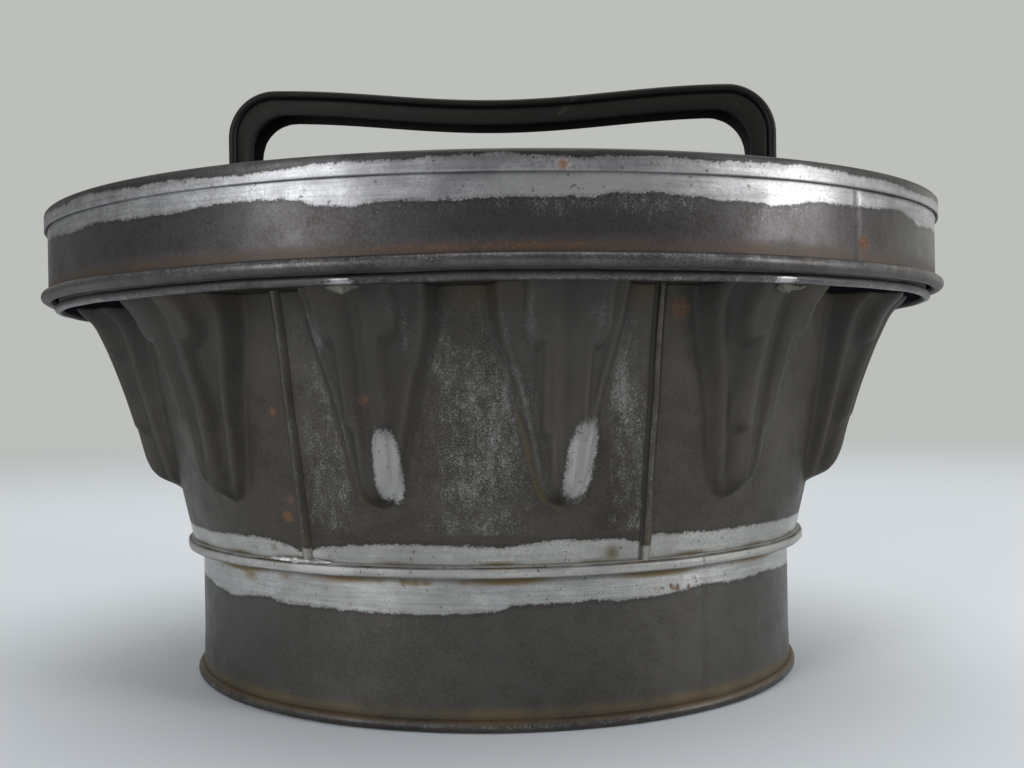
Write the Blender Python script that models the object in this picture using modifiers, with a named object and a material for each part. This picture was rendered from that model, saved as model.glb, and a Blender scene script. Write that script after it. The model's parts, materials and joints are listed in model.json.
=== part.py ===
"""Old tinned-steel oval pudding mould with a lift-off lid and a strap handle.

Frame: the origin is at the middle of the foot's underside, +X runs along the mould's length, -Y is the
front and +Z is up. All sizes are in metres.

The mould is soldered up from sheet: four fluted panels joined by folded seams, a rim ledge with a wired
edge and an upright collar, and an oval foot that carries the closing crown plate. The lid is a flanged
top on an oval band with a wired edge. It lifts straight off the collar.
"""
import math

import bmesh
import bpy
import numpy as np
from mathutils import Matrix, Vector

# Driving sizes
SHEET = 0.0007            # tinned sheet of the body and the foot
LID_SHEET = 0.0006        # tinned sheet of the lid
GAP = 0.0003              # kept between pieces that touch
OVAL_STEPS = 60           # straight steps round every oval

# foot
FOOT_SET_BACK_LENGTH = 0.0395 # outer face of the foot band in from the rim's outermost line, on X
FOOT_SET_BACK_WIDTH = 0.0314  # and on Y
FOOT_HEIGHT = 0.0368          # underside of the crown seam above the ground
FOOT_BEAD_RADIUS = 0.0020     # wired edge that the mould stands on
FOOT_BEAD_PROUD = 0.0017      # how far the wired edge stands out from the band

# folded seam between the foot, the crown plate and the body
CROWN_SEAM_HEIGHT = 0.0028
CROWN_SEAM_PROUD = 0.0049     # out from the foot band
CROWN_SEAM_INSET = 0.0012     # in from the foot band's outer face
CROWN_SEAM_ROUND = 0.0008
WALL_SET_BACK = 0.0024        # body wall back from the crown seam's edge

# body
BODY_HEIGHT = 0.0629          # fluted panels, from their foot to the ledge
END_FLARE_DEG = 13.0          # lean of the bare wall at the ends
FRONT_FLARE_DEG = 10.0        # and at the front and the back
SEAM_HALF_SPAN_LOW = 0.0405   # upright seams from the middle, at the foot
SEAM_HALF_SPAN_HIGH = 0.0445  # and at the ledge
SEAM_WIDTH = 0.0034
SEAM_PROUD = 0.0013
SEAM_ROUND = 0.0004
END_FLUTES = 4                # flutes on each end panel
FRONT_FLUTES = 2              # flutes on the front and on the back panel

# one flute: a boss that tapers down from the ledge and carries three tiers of paired lobes
FLUTE_TOP_HALF_WIDTH = 0.0148 # half width of the boss at the ledge
FLUTE_TOP_RELIEF = 0.0135     # how far the lobes stand out at the ledge
FLUTE_TOP_LOBE = 0.0096       # half width of the pair of lobes at the ledge
FLUTE_TIP_HEIGHT = 0.0139     # lowest point of a flute above the panel's foot
FLUTE_STEP_ONE = 0.0508       # foot of the first tier above the panel's foot
FLUTE_STEP_TWO = 0.0300       # foot of the second tier
FLUTE_STEP_RISE = 0.0019      # height over which a tier steps back

# rim
RIM_HALF_LENGTH = 0.1266      # outermost line of the rim's wired edge, on X
RIM_HALF_WIDTH = 0.1026       # and on Y
RIM_BEAD_RADIUS = 0.0010
RIM_BEAD_RISE = 0.0003        # middle of the wired edge above the middle of the ledge
LEDGE_SHEET = 0.0006
LID_CLEARANCE = 0.0005        # between the collar and the lid's wired edge, for the lid to slide

# lid
LID_OUT = 0.0014              # lid band's outer face out from the rim's outermost line
LID_BEAD_RADIUS = 0.0020
LID_BEAD_PROUD = 0.0020       # wired edge out from the lid band
LID_SEAT_RISE = 0.0032        # middle of the lid's wired edge above the middle of the rim's
LID_HEIGHT = 0.0229           # middle of the lid's wired edge to the top of the lid's rim
LID_FLANGE_DROP = 0.0049      # turned-down edge of the lid's top
LID_CORNER = 0.0009
LID_FIELD_INSET = 0.0130      # raised field in from the lid's edge
LID_FIELD_RISE = 0.0012

# handle
HANDLE_HALF_SPAN = 0.0825     # outer face of each leg from the handle's middle
HANDLE_OFFSET = 0.0033        # handle's middle to the right of the lid's, soldered on by eye
HANDLE_SHOULDER = 0.0388      # height of the right bend above the lid's field
HANDLE_TILT = 0.0026          # how much higher the left bend stands, the strap is a little out of true
HANDLE_DIP = 0.0037           # how far the grip sinks in the middle
HANDLE_CORNER = 0.0145        # outer radius of the bends
HANDLE_WIDTH = 0.0124
HANDLE_DEPTH = 0.0070
HANDLE_SHEET = 0.0008
HANDLE_EDGE_BEAD = 0.0013     # radius of the rounded outer edges
FOOT_PLATE_LENGTH = 0.0200
FOOT_PLATE_WIDTH = 0.0240
FOOT_PLATE_SHEET = 0.0010
FOOT_PLATE_ROUND = 0.0030
RIVET_RADIUS = 0.0023
RIVET_RISE = 0.0013
RIVET_SPACING = 0.0180

# crown plate, seen from below
CROWN_RIM = 0.0130            # flat rim of the plate
CROWN_DROP_ONE = 0.0100       # first step down from the rim
CROWN_DROP_TWO = 0.0200       # lowest point of the gadrooned dome
CROWN_SLOPE = 0.0040          # run of each step's side
CROWN_LEDGE = 0.0080          # flat ring between the steps
CROWN_LOBES = 12
CROWN_LOBE_DEPTH = 0.0022

# solder left at the rim
SOLDER_LENGTH = 0.0070
SOLDER_WIDTH = 0.0018
SOLDER_DROP = 0.0030

# Sizes that follow
FOOT_HALF_LENGTH = RIM_HALF_LENGTH - FOOT_SET_BACK_LENGTH
FOOT_HALF_WIDTH = RIM_HALF_WIDTH - FOOT_SET_BACK_WIDTH
Z_SEAM_LOW = FOOT_HEIGHT
Z_SEAM_HIGH = Z_SEAM_LOW + CROWN_SEAM_HEIGHT
Z_PANEL_LOW = Z_SEAM_HIGH + GAP
Z_PANEL_HIGH = Z_PANEL_LOW + BODY_HEIGHT
Z_LEDGE_LOW = Z_PANEL_HIGH + GAP
Z_LEDGE_HIGH = Z_LEDGE_LOW + LEDGE_SHEET
Z_RIM_BEAD = (Z_LEDGE_LOW + Z_LEDGE_HIGH) / 2 + RIM_BEAD_RISE
Z_COLLAR_LOW = Z_RIM_BEAD + RIM_BEAD_RADIUS + GAP
Z_LID_BEAD = Z_RIM_BEAD + LID_SEAT_RISE
Z_LID_TOP = Z_LID_BEAD + LID_HEIGHT
Z_COLLAR_HIGH = Z_LID_TOP - LID_SHEET - GAP

END_FLARE = math.tan(math.radians(END_FLARE_DEG))
FRONT_FLARE = math.tan(math.radians(FRONT_FLARE_DEG))
WALL_LOW_A = FOOT_HALF_LENGTH + CROWN_SEAM_PROUD - WALL_SET_BACK
WALL_LOW_B = FOOT_HALF_WIDTH + CROWN_SEAM_PROUD - WALL_SET_BACK
LID_A = RIM_HALF_LENGTH + LID_OUT
LID_B = RIM_HALF_WIDTH + LID_OUT

PART_NAME = "oval_pudding_mould"


# Scene set-up
def clear_scene():
    """Remove what the start-up scene holds."""
    for old in list(bpy.data.objects):
        bpy.data.objects.remove(old, do_unlink=True)
    for old in list(bpy.data.collections):
        bpy.data.collections.remove(old)


def new_collection(name):
    """Add a collection to the scene."""
    made = bpy.data.collections.new(name)
    bpy.context.scene.collection.children.link(made)
    return made


def new_material(name, color, roughness, metallic):
    """A plain Principled finish."""
    made = bpy.data.materials.new(name)
    made.use_nodes = True
    shader = made.node_tree.nodes["Principled BSDF"]
    shader.inputs["Base Color"].default_value = (*color, 1.0)
    shader.inputs["Roughness"].default_value = roughness
    shader.inputs["Metallic"].default_value = metallic
    made.diffuse_color = (*color, 1.0)
    return made


clear_scene()
parts = new_collection(PART_NAME)
guides = new_collection("guides")

FINISHES = {
    "dark_tin": ((0.075, 0.068, 0.060), 0.50, 0.80),
    "lid_tin": ((0.090, 0.082, 0.075), 0.45, 0.85),
    "bright_tin": ((0.48, 0.48, 0.47), 0.38, 0.90),
    "wired_edge": ((0.15, 0.14, 0.13), 0.42, 0.85),
    "handle_black": ((0.030, 0.029, 0.026), 0.55, 0.60),
    "solder": ((0.55, 0.55, 0.54), 0.40, 0.95),
}


def add_object(name, data, finish, smooth_deg=40.0):
    """Link an object for one piece, with a material of its own."""
    made = bpy.data.objects.new(name, data)
    parts.objects.link(made)
    color, roughness, metallic = FINISHES[finish]
    data.materials.append(new_material(name, color, roughness, metallic))
    if isinstance(data, bpy.types.Mesh):
        data.shade_smooth()
        data.set_sharp_from_angle(angle=math.radians(smooth_deg))
    return made


def mesh_from(bm, name):
    """Turn a bmesh into mesh data and free it."""
    data = bpy.data.meshes.new(name)
    bm.to_mesh(data)
    bm.free()
    return data


def add_solidify(made, thickness, offset=-1.0):
    """Give a surface its sheet thickness."""
    shell = made.modifiers.new("sheet", "SOLIDIFY")
    shell.thickness = thickness
    shell.offset = offset
    shell.use_even_offset = True
    return shell


def add_bevel(made, width, segments=1):
    """Round the sharp edges of a piece."""
    edge = made.modifiers.new("edges", "BEVEL")
    edge.width = width
    edge.segments = segments
    edge.limit_method = "ANGLE"
    edge.angle_limit = math.radians(50.0)
    return edge


# Ovals
def oval_point(a, b, angle, z):
    """A point on an oval at this height."""
    return Vector((a * math.cos(angle), b * math.sin(angle), z))


def oval_angles(count=OVAL_STEPS):
    """Angles of the straight steps round an oval."""
    return [2.0 * math.pi * i / count for i in range(count)]


def oval_tube(name, a, b, z, radius, finish):
    """A wired edge: an eight-sided tube round an oval, with a flat side below and a flat side above."""
    data = bpy.data.curves.new(name, "CURVE")
    data.dimensions = "3D"
    data.twist_mode = "Z_UP"
    data.bevel_depth = radius / math.cos(math.pi / 8.0)
    data.bevel_resolution = 2
    data.use_fill_caps = True
    line = data.splines.new("POLY")
    angles = oval_angles()
    line.points.add(len(angles) - 1)
    for point, angle in zip(line.points, angles):
        point.co = (*oval_point(a, b, angle, 0.0), 1.0)
        point.tilt = math.pi / 8.0
    line.use_cyclic_u = True
    made = add_object(name, data, finish)
    made.location = (0.0, 0.0, z)
    return made


def oval_shell(name, stations, thickness, finish, close_middle=False):
    """A sheet that runs round an oval, drawn ring by ring through its stations.

    Each station gives the half length, the half width, the height and the depth of its lobes.
    """
    bm = bmesh.new()
    angles = oval_angles()
    first = bmesh.ops.create_circle(bm, cap_ends=False, segments=OVAL_STEPS, radius=1.0)["verts"]
    first = sorted(first, key=lambda v: math.atan2(v.co.y, v.co.x) % (2.0 * math.pi))
    ring = list(first)
    place_ring(ring, angles, stations[0])
    for station in stations[1:]:
        edges = [bm.edges.get((ring[i], ring[(i + 1) % OVAL_STEPS])) for i in range(OVAL_STEPS)]
        grown = bmesh.ops.extrude_edge_only(bm, edges=edges)["geom"]
        new_verts = [g for g in grown if isinstance(g, bmesh.types.BMVert)]
        linked = []
        for old in ring:
            linked.append(next(e.other_vert(old) for e in old.link_edges if e.other_vert(old) in new_verts))
        ring = linked
        place_ring(ring, angles, station)
    if close_middle:
        bm.faces.new(ring)
    bmesh.ops.recalc_face_normals(bm, faces=bm.faces)
    middle = Vector((0.0, 0.0, sum(v.co.z for v in bm.verts) / len(bm.verts)))
    probe = max(bm.faces, key=lambda f: abs(f.calc_center_median().x))
    if probe.normal.dot(probe.calc_center_median() - middle) < 0.0:
        bmesh.ops.reverse_faces(bm, faces=bm.faces)
    made = add_object(name, mesh_from(bm, name), finish)
    add_solidify(made, thickness)
    return made


def place_ring(ring, angles, station):
    """Lay one ring of vertices on its station."""
    a, b, z, lobe = station
    for vert, angle in zip(ring, angles):
        drop = lobe * 0.5 * (1.0 - math.cos(CROWN_LOBES * angle))
        vert.co = oval_point(a, b, angle, z + drop)


def flat_plate(name, outlines, z_low, thickness, finish):
    """A flat plate between an outer outline and the outlines of its holes."""
    data = bpy.data.curves.new(name, "CURVE")
    data.dimensions = "2D"
    data.fill_mode = "BOTH"
    data.extrude = thickness / 2.0
    for outline in outlines:
        line = data.splines.new("POLY")
        line.points.add(len(outline) - 1)
        for point, place in zip(line.points, outline):
            point.co = (place.x, place.y, 0.0, 1.0)
        line.use_cyclic_u = True
    made = add_object(name, data, finish)
    made.location = (0.0, 0.0, z_low + thickness / 2.0)
    return made


# Fluted wall
def wall_half_sizes(height):
    """Half length and half width of the bare wall, this far above the panel's foot."""
    return WALL_LOW_A + height * END_FLARE, WALL_LOW_B + height * FRONT_FLARE


class WallLevel:
    """The bare wall at one height, measured along its oval from the middle of the front."""

    def __init__(self, height):
        self.height = height
        self.a, self.b = wall_half_sizes(height)
        turn = np.linspace(0.0, 2.0 * math.pi, 1441)
        step = np.hypot(self.a * np.cos(turn), self.b * np.sin(turn))
        length = np.concatenate(([0.0], np.cumsum((step[1:] + step[:-1]) / 2.0 * np.diff(turn))))
        self.turn = turn
        self.length = length
        self.around = float(length[-1])

    def seam_length(self):
        """Distance from the middle of the front to the upright seam."""
        share = self.height / BODY_HEIGHT
        span = SEAM_HALF_SPAN_LOW + (SEAM_HALF_SPAN_HIGH - SEAM_HALF_SPAN_LOW) * share
        return float(np.interp(math.asin(span / self.a), self.turn, self.length))

    def frame(self, along):
        """Point on the wall, outward direction and direction of travel, this far round."""
        turn = float(np.interp(along % self.around, self.length, self.turn))
        point = Vector((self.a * math.sin(turn), -self.b * math.cos(turn), Z_PANEL_LOW + self.height))
        outward = Vector((math.sin(turn) / self.a, -math.cos(turn) / self.b, 0.0)).normalized()
        onward = Vector((-outward.y, outward.x, 0.0))
        return point, outward, onward

    def seam_places(self):
        """How far round each upright seam stands, from the front right one onwards."""
        seam = self.seam_length()
        half = self.around / 2.0
        return [seam, half - seam, half + seam, self.around - seam]


def flute_rows():
    """Stations of a flute from the ledge down.

    Each holds the height above the panel's foot, the boss's half width and relief, the lobes' half width
    and crest, and the share of the lobes' relief that the valley between them keeps.
    """
    tip = FLUTE_TIP_HEIGHT
    one, two, rise = FLUTE_STEP_ONE, FLUTE_STEP_TWO, FLUTE_STEP_RISE
    wide, relief, lobe = FLUTE_TOP_HALF_WIDTH, FLUTE_TOP_RELIEF, FLUTE_TOP_LOBE
    tail = two - tip
    return [
        (BODY_HEIGHT, wide, 0.44 * relief, lobe, relief, 0.62),
        (one + rise, 0.82 * wide, 0.39 * relief, 0.95 * lobe, 0.81 * relief, 0.64),
        (one, 0.77 * wide, 0.38 * relief, 0.68 * lobe, 0.73 * relief, 0.68),
        ((one + two + rise) / 2.0, 0.64 * wide, 0.33 * relief, 0.63 * lobe, 0.65 * relief, 0.74),
        (two + rise, 0.53 * wide, 0.29 * relief, 0.58 * lobe, 0.61 * relief, 0.78),
        (two, 0.51 * wide, 0.28 * relief, 0.44 * lobe, 0.58 * relief, 0.82),
        (tip + 0.45 * tail, 0.43 * wide, 0.24 * relief, 0.38 * lobe, 0.57 * relief, 0.90),
        (tip + 0.19 * tail, 0.36 * wide, 0.18 * relief, 0.30 * lobe, 0.50 * relief, 1.00),
        (tip + 0.06 * tail, 0.27 * wide, 0.10 * relief, 0.20 * lobe, 0.28 * relief, 1.00),
        (tip, 0.15 * wide, 0.0, 0.11 * lobe, 0.0, 1.00),
        (0.0, 0.15 * wide, 0.0, 0.11 * lobe, 0.0, 1.00),
    ]


def flute_section(row):
    """Distance from the flute's middle and relief, across one flute at one station."""
    _, wide, boss, lobe, crest, keep = row
    valley = boss + (crest - boss) * keep
    shoulder = boss + (crest - boss) * 0.66
    right = [(0.50 * lobe, crest), (0.88 * lobe, shoulder), (lobe, boss), ((lobe + wide) / 2.0, 0.72 * boss), (wide, 0.0)]
    left = [(-x, h) for x, h in reversed(right)]
    return left + [(0.0, valley)] + right


def panel_line(level, row, seam_from, seam_to, flutes, clear):
    """Distance round the wall and relief of each point across a panel, at one station."""
    places = level.seam_places()
    start = places[seam_from] - (level.around if seam_from > seam_to else 0.0)
    end = places[seam_to]
    cell = (end - start) / flutes
    line = []
    for k in range(flutes):
        line.append((start + cell * k + (clear if k == 0 else 0.0), 0.0))
        middle = start + cell * (k + 0.5)
        line.extend((middle + x, h) for x, h in flute_section(row))
    line.append((end - clear, 0.0))
    return line


def fluted_panel(name, seam_from, seam_to, flutes, finish):
    """One panel between two upright seams, with its flutes pressed out."""
    rows = flute_rows()
    across = len(flute_section(rows[0]))
    columns = flutes * (across + 1) + 1
    bm = bmesh.new()
    bmesh.ops.create_grid(bm, x_segments=columns - 1, y_segments=len(rows) - 1, size=1.0)
    grid = sorted(bm.verts, key=lambda v: (-round(v.co.y, 5), round(v.co.x, 5)))
    clear = SEAM_WIDTH / 2.0 + GAP
    for r, row in enumerate(rows):
        level = WallLevel(row[0])
        line = panel_line(level, row, seam_from, seam_to, flutes, clear)
        for c, (along, relief) in enumerate(line):
            point, outward, _ = level.frame(along)
            grid[r * columns + c].co = point + outward * relief
    bmesh.ops.recalc_face_normals(bm, faces=bm.faces)
    middle = Vector((0.0, 0.0, Z_PANEL_LOW + BODY_HEIGHT / 2.0))
    lowest = min(bm.faces, key=lambda f: f.calc_center_median().z)
    if lowest.normal.dot(lowest.calc_center_median() - middle) < 0.0:
        bmesh.ops.reverse_faces(bm, faces=bm.faces)
    made = add_object(name, mesh_from(bm, name), finish)
    add_solidify(made, SHEET)
    return made


def upright_seam(name, which, finish):
    """A folded seam: a flat bar that leans with the wall."""
    bm = bmesh.new()
    bmesh.ops.create_cube(bm, size=2.0)
    for vert in bm.verts:
        level = WallLevel(BODY_HEIGHT if vert.co.z > 0.0 else 0.0)
        point, outward, onward = level.frame(level.seam_places()[which])
        side = SEAM_WIDTH / 2.0 if vert.co.y > 0.0 else -SEAM_WIDTH / 2.0
        depth = SEAM_PROUD if vert.co.x > 0.0 else -SHEET
        vert.co = point + onward * side + outward * depth
    made = add_object(name, mesh_from(bm, name), finish)
    add_bevel(made, SEAM_ROUND)
    return made


# The mould's body
PANELS = [("front_panel", 3, 0, FRONT_FLUTES), ("right_end_panel", 0, 1, END_FLUTES),
          ("back_panel", 1, 2, FRONT_FLUTES), ("left_end_panel", 2, 3, END_FLUTES)]
for panel_name, first_seam, last_seam, flute_count in PANELS:
    fluted_panel(panel_name, first_seam, last_seam, flute_count, "dark_tin")
upright_seam("seam_front_right", 0, "dark_tin")
upright_seam("seam_back_right", 1, "dark_tin")
upright_seam("seam_back_left", 2, "dark_tin")
upright_seam("seam_front_left", 3, "dark_tin")

# foot band with its wired edge
foot_bead_a = FOOT_HALF_LENGTH + FOOT_BEAD_PROUD - FOOT_BEAD_RADIUS
foot_bead_b = FOOT_HALF_WIDTH + FOOT_BEAD_PROUD - FOOT_BEAD_RADIUS
oval_tube("foot_bead", foot_bead_a, foot_bead_b, FOOT_BEAD_RADIUS, FOOT_BEAD_RADIUS, "wired_edge")
oval_shell("foot_band",
           [(FOOT_HALF_LENGTH, FOOT_HALF_WIDTH, 2.0 * FOOT_BEAD_RADIUS + GAP, 0.0),
            (FOOT_HALF_LENGTH, FOOT_HALF_WIDTH, FOOT_HEIGHT - GAP, 0.0)],
           SHEET, "dark_tin")

# folded seam under the body: the foot band, the crown plate and the panels meet in it
crown_seam = oval_shell("crown_seam",
                        [(FOOT_HALF_LENGTH + CROWN_SEAM_PROUD, FOOT_HALF_WIDTH + CROWN_SEAM_PROUD, Z_SEAM_LOW, 0.0),
                         (FOOT_HALF_LENGTH + CROWN_SEAM_PROUD, FOOT_HALF_WIDTH + CROWN_SEAM_PROUD, Z_SEAM_HIGH, 0.0)],
                        CROWN_SEAM_PROUD + CROWN_SEAM_INSET, "bright_tin")
add_bevel(crown_seam, CROWN_SEAM_ROUND)

# crown plate: it closes the mould and carries a plain gadrooned oval that hangs inside the foot
crown_a = FOOT_HALF_LENGTH - CROWN_SEAM_INSET - GAP
crown_b = FOOT_HALF_WIDTH - CROWN_SEAM_INSET - GAP
crown_steps = [0.0, CROWN_RIM, CROWN_RIM + CROWN_SLOPE, CROWN_RIM + CROWN_SLOPE + CROWN_LEDGE,
               CROWN_RIM + 2.0 * CROWN_SLOPE + CROWN_LEDGE, CROWN_RIM + 3.0 * CROWN_SLOPE + 2.0 * CROWN_LEDGE]
crown_heights = [0.0, 0.0, -CROWN_DROP_ONE, -CROWN_DROP_ONE, -0.7 * CROWN_DROP_TWO, -CROWN_DROP_TWO]
crown_lobes = [0.0, 0.0, 0.0, 0.0, CROWN_LOBE_DEPTH, 0.3 * CROWN_LOBE_DEPTH]
oval_shell("crown_plate",
           [(crown_a - inset, crown_b - inset, Z_SEAM_LOW + SHEET + drop, lobe)
            for inset, drop, lobe in zip(crown_steps, crown_heights, crown_lobes)],
           SHEET, "bright_tin", close_middle=True)

# rim ledge, its wired edge and the upright collar that the lid slides over
rim_bead_a = RIM_HALF_LENGTH - RIM_BEAD_RADIUS
rim_bead_b = RIM_HALF_WIDTH - RIM_BEAD_RADIUS
ledge_out = [oval_point(rim_bead_a - RIM_BEAD_RADIUS - GAP, rim_bead_b - RIM_BEAD_RADIUS - GAP, angle, 0.0)
             for angle in oval_angles()]
ledge_in = []
top_level = WallLevel(BODY_HEIGHT)
for _, first_seam, last_seam, flute_count in PANELS:
    for along, relief in panel_line(top_level, flute_rows()[0], first_seam, last_seam, flute_count, 0.0)[:-1]:
        point, outward, _ = top_level.frame(along)
        ledge_in.append(point + outward * (relief - SHEET))
flat_plate("rim_ledge", [ledge_out, ledge_in], Z_LEDGE_LOW, LEDGE_SHEET, "dark_tin")
oval_tube("rim_bead", rim_bead_a, rim_bead_b, Z_RIM_BEAD, RIM_BEAD_RADIUS, "wired_edge")
collar_a = LID_A + LID_BEAD_PROUD - 2.0 * LID_BEAD_RADIUS - LID_CLEARANCE
collar_b = LID_B + LID_BEAD_PROUD - 2.0 * LID_BEAD_RADIUS - LID_CLEARANCE
oval_shell("rim_collar",
           [(collar_a, collar_b, Z_COLLAR_LOW, 0.0), (collar_a, collar_b, Z_COLLAR_HIGH, 0.0)],
           SHEET, "dark_tin")


def solder_drop(name, along, finish):
    """A drop of solder that hangs from the ledge, just outside a flute."""
    crest = flute_rows()[0][4]
    point, outward, onward = WallLevel(BODY_HEIGHT).frame(along)
    bm = bmesh.new()
    bmesh.ops.create_uvsphere(bm, u_segments=10, v_segments=6, radius=1.0)
    turn = Matrix((outward, onward, Vector((0.0, 0.0, 1.0)))).transposed().to_4x4()
    size = Matrix.Diagonal((SOLDER_WIDTH / 2.0, SOLDER_LENGTH / 2.0, SOLDER_DROP / 2.0, 1.0))
    bmesh.ops.transform(bm, matrix=turn @ size, verts=bm.verts)
    made = add_object(name, mesh_from(bm, name), finish)
    reach = crest + GAP + SOLDER_WIDTH / 2.0
    made.location = point + outward * reach - Vector((0.0, 0.0, SOLDER_DROP / 2.0))
    return made


def flute_middle(seam_from, seam_to, flutes, which):
    """How far round the middle of one flute stands, at the ledge."""
    level = WallLevel(BODY_HEIGHT)
    places = level.seam_places()
    start = places[seam_from] - (level.around if seam_from > seam_to else 0.0)
    return start + (places[seam_to] - start) * (which + 0.5) / flutes


solder_drop("rim_solder_front", flute_middle(3, 0, FRONT_FLUTES, 0), "solder")
solder_drop("rim_solder_right", flute_middle(0, 1, END_FLUTES, 0), "solder")
solder_drop("rim_solder_back", flute_middle(1, 2, FRONT_FLUTES, 0), "solder")
solder_drop("rim_solder_left", flute_middle(2, 3, END_FLUTES, 0), "solder")

# The lid
lid = bpy.data.objects.new("lid_axis", None)
parts.objects.link(lid)
lid.location = (0.0, 0.0, Z_LID_BEAD)

lid_bead_a = LID_A + LID_BEAD_PROUD - LID_BEAD_RADIUS
lid_bead_b = LID_B + LID_BEAD_PROUD - LID_BEAD_RADIUS
lid_bead = oval_tube("lid_bead", lid_bead_a, lid_bead_b, 0.0, LID_BEAD_RADIUS, "wired_edge")
lid_bead.parent = lid

lid_band = oval_shell("lid_band",
                      [(LID_A, LID_B, LID_BEAD_RADIUS + GAP, 0.0),
                       (LID_A, LID_B, LID_HEIGHT - LID_SHEET - GAP, 0.0)],
                      LID_SHEET, "lid_tin")
lid_band.parent = lid

flange = LID_SHEET + GAP
lid_top = oval_shell("lid_top",
                     [(LID_A + flange, LID_B + flange, LID_HEIGHT - LID_FLANGE_DROP, 0.0),
                      (LID_A + flange, LID_B + flange, LID_HEIGHT - LID_CORNER, 0.0),
                      (LID_A + flange - 0.3 * LID_CORNER, LID_B + flange - 0.3 * LID_CORNER,
                       LID_HEIGHT - 0.3 * LID_CORNER, 0.0),
                      (LID_A + flange - LID_CORNER, LID_B + flange - LID_CORNER, LID_HEIGHT, 0.0),
                      (LID_A - LID_FIELD_INSET, LID_B - LID_FIELD_INSET, LID_HEIGHT, 0.0),
                      (LID_A - LID_FIELD_INSET - LID_FIELD_RISE, LID_B - LID_FIELD_INSET - LID_FIELD_RISE,
                       LID_HEIGHT + LID_FIELD_RISE, 0.0)],
                     LID_SHEET, "lid_tin", close_middle=True)
lid_top.parent = lid

# The handle
def handle_path():
    """Outer line of the handle in the X-Z plane, from the left foot to the right one, above the field."""
    low = FOOT_PLATE_SHEET + 2.0 * GAP
    bend = HANDLE_SHOULDER - HANDLE_CORNER
    flat = HANDLE_HALF_SPAN - HANDLE_CORNER
    points = [(-HANDLE_HALF_SPAN, low), (-HANDLE_HALF_SPAN, bend)]
    for i in range(1, 6):
        angle = math.pi - math.pi / 2.0 * i / 6.0
        points.append((-flat + HANDLE_CORNER * math.cos(angle), bend + HANDLE_CORNER * math.sin(angle)))
    grip = 10
    for i in range(grip + 1):
        x = -flat + 2.0 * flat * i / grip
        points.append((x, HANDLE_SHOULDER - HANDLE_DIP * 0.5 * (1.0 + math.cos(math.pi * x / flat))))
    for i in range(1, 6):
        angle = math.pi / 2.0 - math.pi / 2.0 * i / 6.0
        points.append((flat + HANDLE_CORNER * math.cos(angle), bend + HANDLE_CORNER * math.sin(angle)))
    points.extend([(HANDLE_HALF_SPAN, bend), (HANDLE_HALF_SPAN, low)])
    lean = HANDLE_TILT / (2.0 * HANDLE_HALF_SPAN * (bend - low))
    return [(x, z + lean * (HANDLE_HALF_SPAN - x) * min(z - low, bend - low)) for x, z in points]


def handle_section():
    """Closed outline of the folded strap: depth below the outer line, and distance across."""
    half = HANDLE_WIDTH / 2.0
    bead = HANDLE_EDGE_BEAD
    side = half - 0.35 * bead
    right = [(0.0, half - 1.7 * bead), (-0.15 * bead, half - 0.9 * bead), (0.5 * bead, half - 0.1 * bead),
             (1.3 * bead, half), (2.0 * bead, half - 0.35 * bead), (HANDLE_DEPTH, side),
             (HANDLE_DEPTH, side - HANDLE_SHEET), (1.6 * bead, side - HANDLE_SHEET),
             (HANDLE_SHEET, half - 1.8 * bead - HANDLE_SHEET)]
    left = [(depth, -across) for depth, across in reversed(right)]
    return right + left


def add_handle(name, finish):
    """The strap handle: its section carried along the bow."""
    profile = bpy.data.curves.new(name + "_section", "CURVE")
    profile.dimensions = "2D"
    profile.fill_mode = "NONE"
    outline = profile.splines.new("POLY")
    section = handle_section()
    outline.points.add(len(section) - 1)
    for point, (depth, across) in zip(outline.points, section):
        point.co = (depth, across, 0.0, 1.0)
    outline.use_cyclic_u = True
    guide = bpy.data.objects.new(name + "_section", profile)
    guide.hide_render = True
    guide.display_type = "WIRE"
    guides.objects.link(guide)
    data = bpy.data.curves.new(name, "CURVE")
    data.dimensions = "2D"
    data.fill_mode = "NONE"
    line = data.splines.new("POLY")
    path = handle_path()
    line.points.add(len(path) - 1)
    for point, (x, z) in zip(line.points, path):
        point.co = (x, z, 0.0, 1.0)
    data.bevel_mode = "OBJECT"
    data.bevel_object = guide
    data.use_fill_caps = True
    made = add_object(name, data, finish)
    made.rotation_euler = (math.pi / 2.0, 0.0, 0.0)
    made.location = (HANDLE_OFFSET, 0.0, LID_HEIGHT + LID_FIELD_RISE)
    made.parent = lid
    return made


add_handle("handle", "handle_black")


def foot_plate(name, side):
    """The flat foot under one leg of the handle, riveted to the lid's field."""
    bm = bmesh.new()
    bmesh.ops.create_cube(bm, size=1.0)
    size = Matrix.Diagonal((FOOT_PLATE_LENGTH, FOOT_PLATE_WIDTH, FOOT_PLATE_SHEET, 1.0))
    bmesh.ops.transform(bm, matrix=size, verts=bm.verts)
    upright = [e for e in bm.edges if abs(e.verts[0].co.z - e.verts[1].co.z) > FOOT_PLATE_SHEET / 2.0]
    bmesh.ops.bevel(bm, geom=upright, offset=FOOT_PLATE_ROUND, segments=3, affect="EDGES")
    made = add_object(name, mesh_from(bm, name), "handle_black")
    made.location = (HANDLE_OFFSET + side * (HANDLE_HALF_SPAN - HANDLE_DEPTH / 2.0), 0.0,
                     LID_HEIGHT + LID_FIELD_RISE + GAP + FOOT_PLATE_SHEET / 2.0)
    made.parent = lid
    return made


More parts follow.
